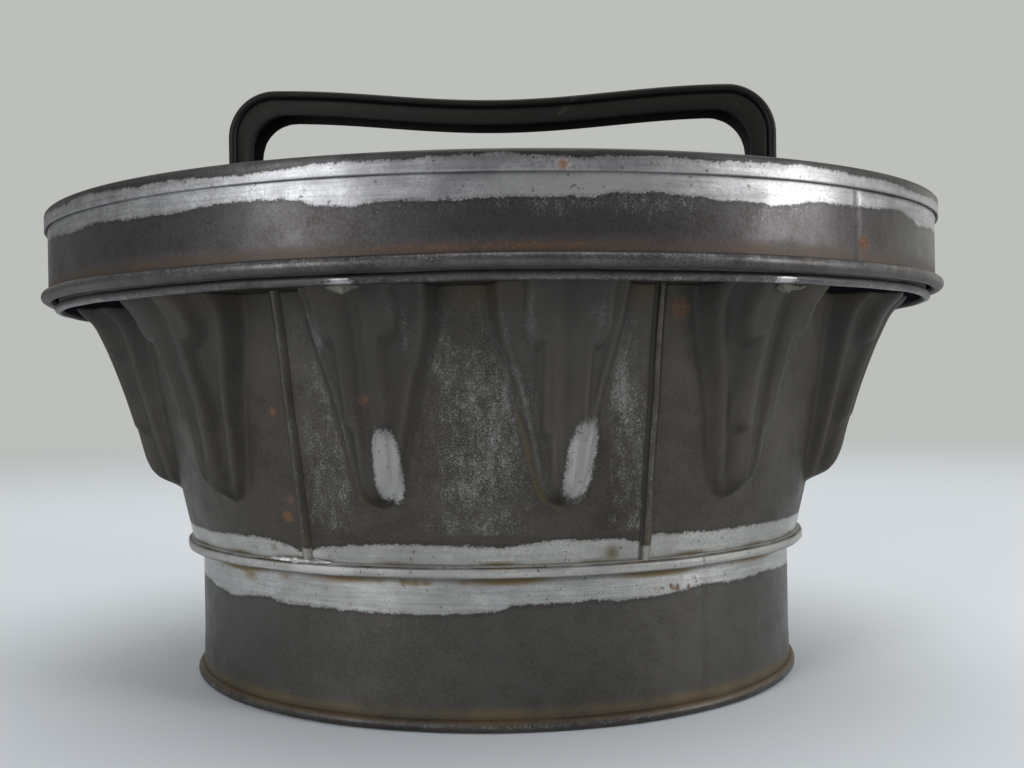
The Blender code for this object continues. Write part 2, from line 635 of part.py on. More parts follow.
def rivet(name, side, across):
    """The domed head of one rivet."""
    bm = bmesh.new()
    bmesh.ops.create_uvsphere(bm, u_segments=12, v_segments=6, radius=1.0)
    low = [v for v in bm.verts if v.co.z < -0.01]
    for vert in low:
        vert.co.z = -0.01
    bmesh.ops.remove_doubles(bm, verts=bm.verts, dist=0.0001)
    size = Matrix.Diagonal((RIVET_RADIUS, RIVET_RADIUS, RIVET_RISE, 1.0))
    bmesh.ops.transform(bm, matrix=size, verts=bm.verts)
    made = add_object(name, mesh_from(bm, name), "handle_black")
    low_z = min(v.co.z for v in made.data.vertices)
    made.location = (HANDLE_OFFSET + side * (HANDLE_HALF_SPAN - HANDLE_DEPTH / 2.0), across * RIVET_SPACING / 2.0,
                     LID_HEIGHT + LID_FIELD_RISE + 2.0 * GAP + FOOT_PLATE_SHEET - low_z)
    made.parent = lid
    return made


for label, side in (("left", -1.0), ("right", 1.0)):
    foot_plate("handle_foot_" + label, side)
    rivet("rivet_" + label + "_front", side, -1.0)
    rivet("rivet_" + label + "_back", side, 1.0)
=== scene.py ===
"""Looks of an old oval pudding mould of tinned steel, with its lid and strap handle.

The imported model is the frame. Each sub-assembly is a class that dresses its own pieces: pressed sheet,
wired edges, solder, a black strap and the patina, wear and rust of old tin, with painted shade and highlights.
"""
from __future__ import annotations

import json
import logging
import math
from dataclasses import dataclass, field
from enum import Enum
from typing import Callable, Sequence

import bpy
import numpy as np
from mathutils import Matrix, Vector

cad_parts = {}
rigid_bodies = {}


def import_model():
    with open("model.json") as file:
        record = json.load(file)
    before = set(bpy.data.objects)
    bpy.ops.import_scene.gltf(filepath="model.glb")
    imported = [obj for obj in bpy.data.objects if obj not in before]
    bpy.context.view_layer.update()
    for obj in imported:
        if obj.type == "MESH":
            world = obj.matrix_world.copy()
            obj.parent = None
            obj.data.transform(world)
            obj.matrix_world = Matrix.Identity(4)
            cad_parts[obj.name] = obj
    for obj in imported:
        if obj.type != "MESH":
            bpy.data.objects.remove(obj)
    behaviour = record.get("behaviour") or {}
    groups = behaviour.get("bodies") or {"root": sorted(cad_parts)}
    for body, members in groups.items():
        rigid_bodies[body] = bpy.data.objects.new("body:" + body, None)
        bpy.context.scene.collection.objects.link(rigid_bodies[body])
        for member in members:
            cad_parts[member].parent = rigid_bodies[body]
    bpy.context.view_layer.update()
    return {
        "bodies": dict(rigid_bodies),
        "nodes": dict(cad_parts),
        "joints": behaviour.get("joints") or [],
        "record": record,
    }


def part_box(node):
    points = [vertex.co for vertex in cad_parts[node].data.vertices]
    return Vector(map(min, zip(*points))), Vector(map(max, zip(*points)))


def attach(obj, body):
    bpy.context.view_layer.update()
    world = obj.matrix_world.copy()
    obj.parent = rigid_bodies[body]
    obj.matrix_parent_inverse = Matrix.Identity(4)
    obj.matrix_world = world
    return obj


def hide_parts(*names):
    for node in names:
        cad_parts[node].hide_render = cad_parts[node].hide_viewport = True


LOG = logging.getLogger("pudding_mould")
MM = 0.001
TAU = 2.0 * math.pi

Array = np.ndarray
Three = tuple[float, float, float]
Color = Three
Knots = Sequence[tuple[float, float]]
Waves = Sequence[Three]
Section = Callable[[Array], tuple[Array, Array]]
UNPAINTED = -50.0        # distance inside a bright patch where a mesh has no painted patch


class Body(Enum):
    """The two bodies that pieces ride on."""

    MOULD = "mould"
    LID = "lid"


class Slot(Enum):
    """Material slots of the record."""

    DARK_TIN = "dark_tin"
    LID_TIN = "lid_tin"
    BRIGHT_TIN = "bright_tin"
    WIRED_EDGE = "wired_edge"
    HANDLE_BLACK = "handle_black"
    SOLDER = "solder"


class Mark(Enum):
    """Masks that are painted on a mesh's points."""

    BRIGHT = "bright_mm"     # distance inside a bright tin patch, in millimetres
    WEAR = "wear"            # share of the dark skin that is rubbed through
    RUST = "rust"            # strength of a rust bloom
    STAIN = "stain"          # strength of a yellow-brown stain
    DARK = "dark"            # soot and dirt in creases and joints, and painted shade in creases, over the flutes, beside laps and under edges
    SHEEN = "sheen"          # ridges burnished by handling, with painted highlights along them


# Shapes
def smooth(low: float, high: float, value: Array) -> Array:
    """Ease from 0 at low to 1 at high.

    Args:
        low: Value where the result leaves 0.
        high: Value where the result reaches 1.
        value: Values to ease.

    Returns:
        The eased values.
    """
    share = np.clip((value - low) / (high - low), 0.0, 1.0)
    return share * share * (3.0 - 2.0 * share)


def through(knots: Knots, value: Array) -> Array:
    """Read a smooth curve through knots.

    Args:
        knots: Places and values, in rising order of place.
        value: Places to read.

    Returns:
        Values of the curve there.
    """
    x = np.array([k[0] for k in knots], dtype=float)
    y = np.array([k[1] for k in knots], dtype=float)
    slope = np.gradient(y, x)
    value = np.clip(value, x[0], x[-1])
    spot = np.clip(np.searchsorted(x, value) - 1, 0, len(x) - 2)
    width = x[spot + 1] - x[spot]
    t = (value - x[spot]) / width
    return ((2 * t**3 - 3 * t**2 + 1) * y[spot] + (t**3 - 2 * t**2 + t) * width * slope[spot]
            + (3 * t**2 - 2 * t**3) * y[spot + 1] + (t**3 - t**2) * width * slope[spot + 1])


def blend_high(first: Array, second: Array, soft: float) -> Array:
    """Take the higher of two reliefs with a soft root between them.

    Args:
        first: One relief.
        second: The other relief.
        soft: Height over which they blend.

    Returns:
        The joined relief.
    """
    share = np.clip(soft - np.abs(first - second), 0.0, None) / soft
    return np.maximum(first, second) + share * share * soft * 0.25


def ripple(place: Array, waves: Waves) -> Array:
    """Add up a few sine waves, as hand-worked sheet wanders.

    Args:
        place: Places along the sheet.
        waves: Height, count per turn and phase of each wave.

    Returns:
        The height of the ripple at each place.
    """
    total = np.zeros_like(place, dtype=float)
    for height, count, phase in waves:
        total += height * np.sin(place * count + phase)
    return total


def hill(value: Array, middle: Array | float, half: Array | float, power: int = 2) -> Array:
    """A soft hill: 1 at its middle, and down by two thirds at half its width."""
    return np.exp(-(((value - middle) / half) ** power))


def turn_from(turn: Array, middle: float = 0.0) -> Array:
    """Turns counted from this place, from minus to plus half a turn."""
    return (turn - middle + math.pi) % TAU - math.pi


@dataclass(frozen=True)
class Lap:
    """The lapped end of a band of sheet. Lengths along the band are in millimetres."""

    place: float
    rise: float
    around: float
    tail: float
    edge: float = 0.2

    def along(self, turn: Array) -> Array:
        """How far past the lap's edge these turns are."""
        return turn_from(turn, self.place) * self.around

    def step(self, turn: Array) -> Array:
        """How far the sheet stands out there, in metres."""
        along = self.along(turn)
        return smooth(-self.edge, self.edge, along) * smooth(self.tail, 2.0, along) * self.rise

    def shade(self, turn: Array) -> Array:
        """Painted shade beside the lap's edge."""
        return 0.6 * hill(self.along(turn), -0.3, 0.5)


@dataclass(frozen=True)
class Oval:
    """A level oval whose turn starts at the middle of the front and grows towards +X."""

    a: float
    b: float

    def grown(self, out: float) -> "Oval":
        """An oval this much larger on each side."""
        return Oval(self.a + out, self.b + out)

    def table(self) -> tuple[Array, Array]:
        """Turns and the lengths round the oval that belong to them."""
        turn = np.linspace(0.0, TAU, 1441)
        step = np.hypot(self.a * np.cos(turn), self.b * np.sin(turn))
        length = np.concatenate(([0.0], np.cumsum((step[1:] + step[:-1]) / 2.0 * np.diff(turn))))
        return turn, length

    def place(self, turn: Array, z: Array, out: Array | float = 0.0) -> Array:
        """Points at these turns and heights.

        Args:
            turn: Turns from the middle of the front.
            z: Heights.
            out: How far the points stand out from the oval.

        Returns:
            An array of points.
        """
        x, y = (self.a + out) * np.sin(turn), -(self.b + out) * np.cos(turn)
        return np.stack(np.broadcast_arrays(x, y, z), axis=-1)


@dataclass(frozen=True)
class MouldSizes:
    """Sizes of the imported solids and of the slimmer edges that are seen, in metres."""

    gap: float = 0.0003
    sheet: float = 0.0007
    foot: Oval = Oval(0.0871, 0.0712)
    foot_bead_proud: float = 0.0017
    seam_low: float = 0.0368
    seam_high: float = 0.0396
    seam_proud: float = 0.0049
    seam_inset: float = 0.0012
    wall_set_back: float = 0.0024
    body_height: float = 0.0629
    end_flare: float = math.tan(math.radians(13.0))
    front_flare: float = math.tan(math.radians(10.0))
    upright_low: float = 0.0405
    upright_high: float = 0.0445
    rim: Oval = Oval(0.1266, 0.1026)
    rim_bead_z: float = 0.1037
    collar: Oval = Oval(0.1255, 0.1015)
    lid: Oval = Oval(0.1280, 0.1040)
    lid_sheet: float = 0.0006
    lid_bead_proud: float = 0.0020
    lid_bead_z: float = 0.1069
    lid_height: float = 0.0229
    lid_flange: float = 0.0049
    field_inset: float = 0.0130
    field_rise: float = 0.0012
    foot_bead_seen: float = 0.00155
    rim_bead_seen: float = 0.00115
    lid_bead_seen: float = 0.00168
    ledge_recess: float = 0.0012

    @property
    def panel_low(self) -> float:
        """Height of the panels' foot."""
        return self.seam_high + self.gap

    @property
    def panel_high(self) -> float:
        """Height of the panels' upper edge."""
        return self.panel_low + self.body_height

    @property
    def lid_top(self) -> float:
        """Height of the lid's rim."""
        return self.lid_bead_z + self.lid_height

    def wall(self, height: float) -> Oval:
        """The bare wall this far above the panels' foot."""
        out = self.seam_proud - self.wall_set_back
        return Oval(self.foot.a + out + height * self.end_flare, self.foot.b + out + height * self.front_flare)

    def foot_turn(self, points: Array) -> Array:
        """Turns of these points round the foot."""
        return np.arctan2(points[..., 0] / self.foot.a, -points[..., 1] / self.foot.b)


SIZES = MouldSizes()


# Meshes
def new_piece(name: str, points: Array, faces: Sequence[Sequence[int]], body: Body,
              nodes: Sequence[str] = (), marks: dict[Mark, Array] | None = None,
              sharp_deg: float = 50.0) -> bpy.types.Object:
    """Make a piece, let it ride on its body and hide the nodes that it stands for.

    Args:
        name: Name of the piece.
        points: Its points, in metres.
        faces: Its faces, as point numbers.
        body: The body that it rides on.
        nodes: Solids that it replaces.
        marks: Painted masks, one value for each point.
        sharp_deg: Edges steeper than this stay crisp.

    Returns:
        The new object.
    """
    data = bpy.data.meshes.new(name)
    data.from_pydata([tuple(p) for p in points.reshape(-1, 3).tolist()], [], faces)
    data.validate()
    for mark, values in (marks or {}).items():
        layer = data.attributes.new(mark.value, "FLOAT", "POINT")
        layer.data.foreach_set("value", np.asarray(values, dtype=np.float32).reshape(-1))
    data.shade_smooth()
    data.set_sharp_from_angle(angle=math.radians(sharp_deg))
    piece = bpy.data.objects.new(name, data)
    bpy.context.scene.collection.objects.link(piece)
    if nodes:
        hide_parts(*nodes)
    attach(piece, body.value)
    LOG.info("piece %s: %d points", name, len(data.vertices))
    return piece


def grid_faces(rows: int, columns: int, wrap_rows: bool, wrap_columns: bool) -> list[tuple[int, ...]]:
    """Number the faces of a grid of points.

    Args:
        rows: Points down the grid.
        columns: Points across it.
        wrap_rows: Whether the last row joins the first.
        wrap_columns: Whether the last column joins the first.

    Returns:
        The faces as point numbers.
    """
    faces = []
    for r in range(rows if wrap_rows else rows - 1):
        low, high = r * columns, (r + 1) % rows * columns
        for c in range(columns if wrap_columns else columns - 1):
            n = (c + 1) % columns
            faces.append((low + c, low + n, high + n, high + c))
    return faces


def capped_tube(rows: int, columns: int, turned: bool = False) -> list[tuple[int, ...]]:
    """Number the faces of a closed section that is carried along a line and shut at both ends.

    Args:
        rows: Sections along the line.
        columns: Points round each section.
        turned: Whether the section runs the other way round.

    Returns:
        The faces as point numbers.
    """
    faces = grid_faces(rows, columns, False, True)
    faces.append(tuple(reversed(range(columns))))
    faces.append(tuple(range((rows - 1) * columns, rows * columns)))
    return [tuple(reversed(face)) for face in faces] if turned else faces


def thicken(piece: bpy.types.Object, sheet: float) -> bpy.types.Object:
    """Give a surface the thickness of its sheet, inwards."""
    made = piece.modifiers.new("sheet", "SOLIDIFY")
    made.thickness, made.offset = sheet, -1.0
    return piece


def round_ring(name: str, oval: Oval, profile: Section, steps: int, body: Body, node: str,
               paint: Callable[[Array, Array], dict[Mark, Array]], sharp_deg: float = 50.0) -> bpy.types.Object:
    """Carry a closed section round an oval.

    Args:
        name: Name of the piece.
        oval: The oval that the section follows.
        profile: Gives how far out and how high each point of the section is, for an array of turns.
        steps: Sections round the oval.
        body: The body that it rides on.
        node: The solid that it replaces.
        paint: Gives the masks for the points' turns and places.
        sharp_deg: Edges steeper than this stay crisp.

    Returns:
        The new object.
    """
    turn = np.arange(steps)[:, None] * TAU / steps
    out, z = profile(turn)
    turns = np.broadcast_to(turn, out.shape)
    points = oval.place(turns, z, out)
    faces = [tuple(reversed(face)) for face in grid_faces(steps, out.shape[1], True, True)]
    return new_piece(name, points, faces, body, [node], paint(turns, points), sharp_deg)


def circle_section(radius: float, out: float, z: float, sides: int, wander: Section) -> Section:
    """A round section for a wired edge.

    Args:
        radius: Radius of the edge.
        out: How far out its middle is.
        z: Height of its middle.
        sides: Points round the section.
        wander: Gives small shifts out and up for an array of turns.

    Returns:
        A function from turns to the section's points.
    """
    angle = np.arange(sides) * TAU / sides

    def section(turn: Array) -> tuple[Array, Array]:
        """Points of the section at these turns."""
        side, lift = wander(turn)
        return out + side + radius * np.cos(angle)[None, :], z + lift + radius * np.sin(angle)[None, :]

    return section


def path_section(path: Knots, spread: Callable[[Array, Array], Array]) -> Section:
    """A section given point by point.

    Args:
        path: How far out and how high each point is, counter-clockwise seen with outwards to the right.
        spread: Gives an extra shift outwards for turns and heights.

    Returns:
        A function from turns to the section's points.
    """
    out = np.array([p[0] for p in path])
    z = np.array([p[1] for p in path])

    def section(turn: Array) -> tuple[Array, Array]:
        """Points of the section at these turns."""
        high = np.broadcast_to(z, (turn.shape[0], len(z)))
        return out + spread(np.broadcast_to(turn, high.shape), high), high

    return section


def upright_sheet(sheet: float, low: float, high: float, rows: int) -> list[tuple[float, float]]:
    """Section of an upright band of sheet, with its outer face on the oval.

    Args:
        sheet: Thickness of the sheet.
        low: Height of its lower edge.
        high: Height of its upper edge.
        rows: Points up the outer face.

    Returns:
        The section's points, up the outer face and down the inner one.
    """
    up = [(0.0, float(z)) for z in np.linspace(low, high, rows)]
    return up + [(-sheet, high), (-sheet, (low + high) / 2.0), (-sheet, low)]


# Painted marks
@dataclass(frozen=True)
class Spot:
    """A round mark on a piece: its middle, radius and strength."""

    x: float
    y: float
    z: float
    radius: float
    strength: float = 1.0


def spots_on(points: Array, spots: Sequence[Spot]) -> Array:
    """Strength of the nearest round mark at each point.

    Args:
        points: Points of the piece.
        spots: The marks.

    Returns:
        Values from 0 to 1.
    """
    total = np.zeros(points.shape[:-1])
    for spot in spots:
        reach = np.linalg.norm(points - np.array((spot.x, spot.y, spot.z)), axis=-1)
        total = np.maximum(total, spot.strength * hill(reach, 0.0, spot.radius))
    return total


def around_line(knots: Knots, turn: Array) -> Array:
    """Height of a wandering line round the object.

    Args:
        knots: Degrees from the middle of the front, and heights there in millimetres.
        turn: Turns to read it at.

    Returns:
        Heights in millimetres.
    """
    degrees = (np.degrees(turn) + 180.0) % 360.0 - 180.0
    line = np.interp(degrees, [k[0] for k in knots], [k[1] for k in knots], period=360.0)
    loose = smooth(60.0, 95.0, np.abs(degrees))
    return line + loose * ripple(turn, ((0.6, 4.0, 1.0), (0.5, 9.0, 0.3), (0.35, 21.0, 1.2), (0.25, 37.0, 0.5)))


# Shader graphs
class Graph:
    """Short calls for building a node tree."""

    def __init__(self, tree: bpy.types.NodeTree) -> None:
        """Keep the tree that nodes are added to."""
        self.tree = tree

    def node(self, kind: str, **settings: object) -> bpy.types.Node:
        """Add a node and set its properties.

        Args:
            kind: Name of the node's type.
            **settings: Properties and their values.

        Returns:
            The new node.
        """
        made = self.tree.nodes.new(kind)
        for key, value in settings.items():
            setattr(made, key, value)
        return made

    def feed(self, socket: bpy.types.NodeSocket, value: object) -> None:
        """Link an output to a socket, or set the socket's value."""
        if isinstance(value, bpy.types.NodeSocket):
            self.tree.links.new(value, socket)
        elif isinstance(value, tuple) and socket.type == "RGBA" and len(value) == 3:
            socket.default_value = (*value, 1.0)
        else:
            socket.default_value = value

    def math(self, operation: str, *values: object, clamp: bool = False) -> bpy.types.NodeSocket:
        """Do a sum on up to three values."""
        made = self.node("ShaderNodeMath", operation=operation, use_clamp=clamp)
        for socket, value in zip(made.inputs, values):
            self.feed(socket, value)
        return made.outputs[0]

    def times(self, first: object, second: object, clamp: bool = False) -> bpy.types.NodeSocket:
        """Multiply two values."""
        return self.math("MULTIPLY", first, second, clamp=clamp)

    def plus(self, first: object, second: object) -> bpy.types.NodeSocket:
        """Add two values."""
        return self.math("ADD", first, second)

    def minus(self, first: object, second: object) -> bpy.types.NodeSocket:
        """Take the second value from the first."""
        return self.math("SUBTRACT", first, second)

    def ease(self, value: object, low: float, high: float, top: float = 1.0) -> bpy.types.NodeSocket:
        """Ease a value from 0 at low to top at high."""
        made = self.node("ShaderNodeMapRange", interpolation_type="SMOOTHSTEP", clamp=True)
        self.feed(made.inputs["Value"], value)
        self.feed(made.inputs["From Min"], low)
        self.feed(made.inputs["From Max"], high)
        self.feed(made.inputs["To Max"], top)
        return made.outputs["Result"]

    def scale(self, value: object, low: float, high: float) -> bpy.types.NodeSocket:
        """Spread a value from 0 to 1 over a range."""
        made = self.node("ShaderNodeMapRange", clamp=False)
        self.feed(made.inputs["Value"], value)
        self.feed(made.inputs["To Min"], low)
        self.feed(made.inputs["To Max"], high)
        return made.outputs["Result"]

    def tint(self, share: object, first: object, second: object) -> bpy.types.NodeSocket:
        """Mix two colours."""
        made = self.node("ShaderNodeMix", data_type="RGBA", clamp_factor=True)
        self.feed(made.inputs[0], share)
        self.feed(made.inputs[6], first)
        self.feed(made.inputs[7], second)
        return made.outputs[2]

    def layer(self, mask: object, strength: float, under: object, over: object) -> bpy.types.NodeSocket:
        """Lay a colour over another one, at this strength where the mask is full."""
        return self.tint(self.times(mask, strength), under, over)

    def between(self, share: object, first: object, second: object) -> bpy.types.NodeSocket:
        """Mix two numbers."""
        made = self.node("ShaderNodeMix", data_type="FLOAT", clamp_factor=True)
        self.feed(made.inputs[0], share)
        self.feed(made.inputs[2], first)
        self.feed(made.inputs[3], second)
        return made.outputs[0]

    def noise(self, vector: object, size: object, detail: float = 3.0, rough: float = 0.55,
              distort: float = 0.0) -> bpy.types.NodeSocket:
        """Noise from 0 to 1, at a scale in turns per metre."""
        made = self.node("ShaderNodeTexNoise")
        self.feed(made.inputs["Vector"], vector)
        self.feed(made.inputs["Scale"], size)
        made.inputs["Detail"].default_value = detail
        made.inputs["Roughness"].default_value = rough
        made.inputs["Distortion"].default_value = distort
        return made.outputs["Fac"]

    def stretch(self, vector: object, scale: Color) -> bpy.types.NodeSocket:
        """Scale a vector on each axis."""
        made = self.node("ShaderNodeMapping")
        self.feed(made.inputs["Vector"], vector)
        made.inputs["Scale"].default_value = scale
        return made.outputs["Vector"]

    def bump(self, shader: bpy.types.Node, height: object, strength: float, distance: float) -> None:
        """Feed a relief to a shader's normal, with its distance in metres."""
        made = self.node("ShaderNodeBump")
        made.inputs["Strength"].default_value = strength
        made.inputs["Distance"].default_value = distance
        self.feed(made.inputs["Height"], height)
        self.feed(shader.inputs["Normal"], made.outputs["Normal"])


class Effect:
    """A shader group that several finishes share: it is built once and then placed."""

    built: dict[str, bpy.types.NodeTree] = {}

    def __init__(self, name: str, inputs: Sequence[tuple[str, str, object]],
                 outputs: Sequence[tuple[str, str]], build: Callable[[Graph, dict, dict], None]) -> None:
        """Keep what the group needs.

        Args:
            name: Name of the group.
            inputs: Name, socket type and default of each input.
            outputs: Name and socket type of each output.
            build: Fills the group, given its graph, its inputs and its output sockets.
        """
        self.name, self.inputs, self.outputs, self.build = name, inputs, outputs, build

    def tree(self) -> bpy.types.NodeTree:
        """The group's tree, made on first use."""
        if self.name in Effect.built:
            return Effect.built[self.name]
        made = bpy.data.node_groups.new(self.name, "ShaderNodeTree")
        for name, kind, default in self.inputs:
            socket = made.interface.new_socket(name=name, in_out="INPUT", socket_type=kind)
            if default is not None:
                socket.default_value = default
        for name, kind in self.outputs:
            made.interface.new_socket(name=name, in_out="OUTPUT", socket_type=kind)
        graph = Graph(made)
        start, end = graph.node("NodeGroupInput"), graph.node("NodeGroupOutput")
        self.build(graph, {s.name: s for s in start.outputs if s.name}, {s.name: s for s in end.inputs if s.name})
        Effect.built[self.name] = made
        return made

    def use(self, graph: Graph, **values: object) -> dict[str, bpy.types.NodeSocket]:
        """Place the group in a material.

        Args:
            graph: The material's graph.
            **values: Values or links for the inputs, with underscores for spaces.

        Returns:
            The group's outputs by name.
        """
        placed = graph.node("ShaderNodeGroup")
        placed.node_tree = self.tree()
        for key, value in values.items():
            graph.feed(placed.inputs[key.replace("_", " ")], value)
        return {s.name: s for s in placed.outputs}


FLOAT, VECTOR = "NodeSocketFloat", "NodeSocketVector"


def build_patina(graph: Graph, given: dict, made: dict) -> None:
    """Cloudy old tin: broad clouds, fine grain and faint drawn lines."""
    vector = given["Vector"]
    broad = graph.noise(vector, graph.times(given["Scale"], 28.0), 4.0, 0.6, 0.6)
    middle = graph.noise(vector, graph.times(given["Scale"], 160.0), 5.0, 0.62)
    fine = graph.noise(vector, graph.times(given["Scale"], 1500.0), 3.0, 0.7)
    drawn = graph.noise(graph.stretch(vector, (60.0, 60.0, 1400.0)), 1.0, 3.0, 0.6)
    pits = graph.noise(vector, 800.0, 2.0, 0.5)
    cloud = graph.plus(graph.times(broad, 0.6), graph.times(middle, 0.4))
    graph.feed(made["Cloud"], graph.ease(cloud, 0.34, 0.66))
    graph.feed(made["Grain"], fine)
    graph.feed(made["Drawn"], graph.ease(drawn, 0.3, 0.75))
    graph.feed(made["Pits"], graph.ease(pits, 0.33, 0.27))


def build_speckle(graph: Graph, given: dict, made: dict) -> None:
    """Bright flecks where the dark skin is rubbed through."""
    vector = given["Vector"]
    upright = graph.stretch(vector, (1.0, 1.0, 0.45))
    small = graph.noise(vector, 2700.0, 2.0, 0.65)
    cluster = graph.noise(upright, 480.0, 4.0, 0.7)
    islands = graph.noise(upright, 120.0, 3.0, 0.6)
    level = graph.plus(graph.times(small, 0.66), graph.times(cluster, 0.34))
    level = graph.plus(level, graph.times(graph.minus(islands, 0.5), 0.26))
    over = graph.minus(level, graph.minus(0.74, graph.times(given["Amount"], 0.24)))
    graph.feed(made["Mask"], graph.ease(over, -0.03, 0.16))
    graph.feed(made["Haze"], graph.ease(over, -0.14, 0.10))


def build_patch_edge(graph: Graph, given: dict, made: dict) -> None:
    """A ragged edge round a bright patch, with loose flecks beyond it."""
    vector = given["Vector"]
    wave = graph.noise(vector, 260.0, 3.0, 0.6)
    frayed = graph.noise(vector, 1700.0, 4.0, 0.75)
    shift = graph.plus(graph.times(graph.minus(wave, 0.5), 1.6), graph.times(graph.minus(frayed, 0.5), 2.2))
    inside = graph.plus(given["Distance"], shift)
    graph.feed(made["Mask"], graph.ease(inside, -0.10, 0.22))
    graph.feed(made["Rim"], graph.times(graph.ease(inside, -1.2, 0.0),
                                       graph.minus(1.0, graph.ease(inside, 0.0, 0.9))))


def build_rust(graph: Graph, given: dict, made: dict) -> None:
    """Rust that blooms in spots and breaks up at its edge."""
    vector = given["Vector"]
    crumble = graph.noise(vector, 900.0, 5.0, 0.75)
    level = graph.plus(given["Amount"], graph.times(graph.minus(crumble, 0.5), 1.1))
    graph.feed(made["Mask"], graph.ease(level, 0.35, 0.85))
    graph.feed(made["Deep"], graph.ease(graph.noise(vector, 2400.0, 3.0, 0.7), 0.4, 0.65))


def build_scratches(graph: Graph, given: dict, made: dict) -> None:
    """Fine crossing scratches."""
    vector = given["Vector"]
    total = None
    for tilt, spread in ((0.35, (900.0, 900.0, 26.0)), (-0.9, (700.0, 700.0, 34.0)), (1.3, (1100.0, 1100.0, 22.0))):
        turned = graph.node("ShaderNodeVectorRotate", rotation_type="AXIS_ANGLE")
        graph.feed(turned.inputs["Vector"], vector)
        turned.inputs["Axis"].default_value = (0.3, 1.0, 0.2)
        turned.inputs["Angle"].default_value = tilt
        line = graph.noise(graph.stretch(turned.outputs["Vector"], spread), 1.0, 1.0, 0.4)
        thin = graph.ease(line, 0.74, 0.79)
        total = thin if total is None else graph.math("MAXIMUM", total, thin)
    graph.feed(made["Mask"], graph.times(total, given["Amount"]))


PATINA = Effect("old_tin_patina", [("Vector", VECTOR, None), ("Scale", FLOAT, 1.0)],
                [("Cloud", FLOAT), ("Grain", FLOAT), ("Drawn", FLOAT), ("Pits", FLOAT)], build_patina)
SPECKLE = Effect("rubbed_flecks", [("Vector", VECTOR, None), ("Amount", FLOAT, 0.0)],
                 [("Mask", FLOAT), ("Haze", FLOAT)], build_speckle)
PATCH_EDGE = Effect("ragged_patch_edge", [("Vector", VECTOR, None), ("Distance", FLOAT, UNPAINTED)],
                    [("Mask", FLOAT), ("Rim", FLOAT)], build_patch_edge)
RUST = Effect("rust_bloom", [("Vector", VECTOR, None), ("Amount", FLOAT, 0.0)],
              [("Mask", FLOAT), ("Deep", FLOAT)], build_rust)
SCRATCHES = Effect("fine_scratches", [("Vector", VECTOR, None), ("Amount", FLOAT, 1.0)],
                   [("Mask", FLOAT)], build_scratches)


# Finishes
def new_finish(name: str) -> tuple[bpy.types.Material, Graph, bpy.types.Node, bpy.types.NodeSocket]:
    """Start a finish.

    Args:
        name: Name of the material.

    Returns:
        The material, its graph, its shader and the place on the object.
    """
    made = bpy.data.materials.new(name)
    made.use_nodes = True
    graph = Graph(made.node_tree)
    return made, graph, made.node_tree.nodes["Principled BSDF"], graph.node("ShaderNodeTexCoord").outputs["Object"]


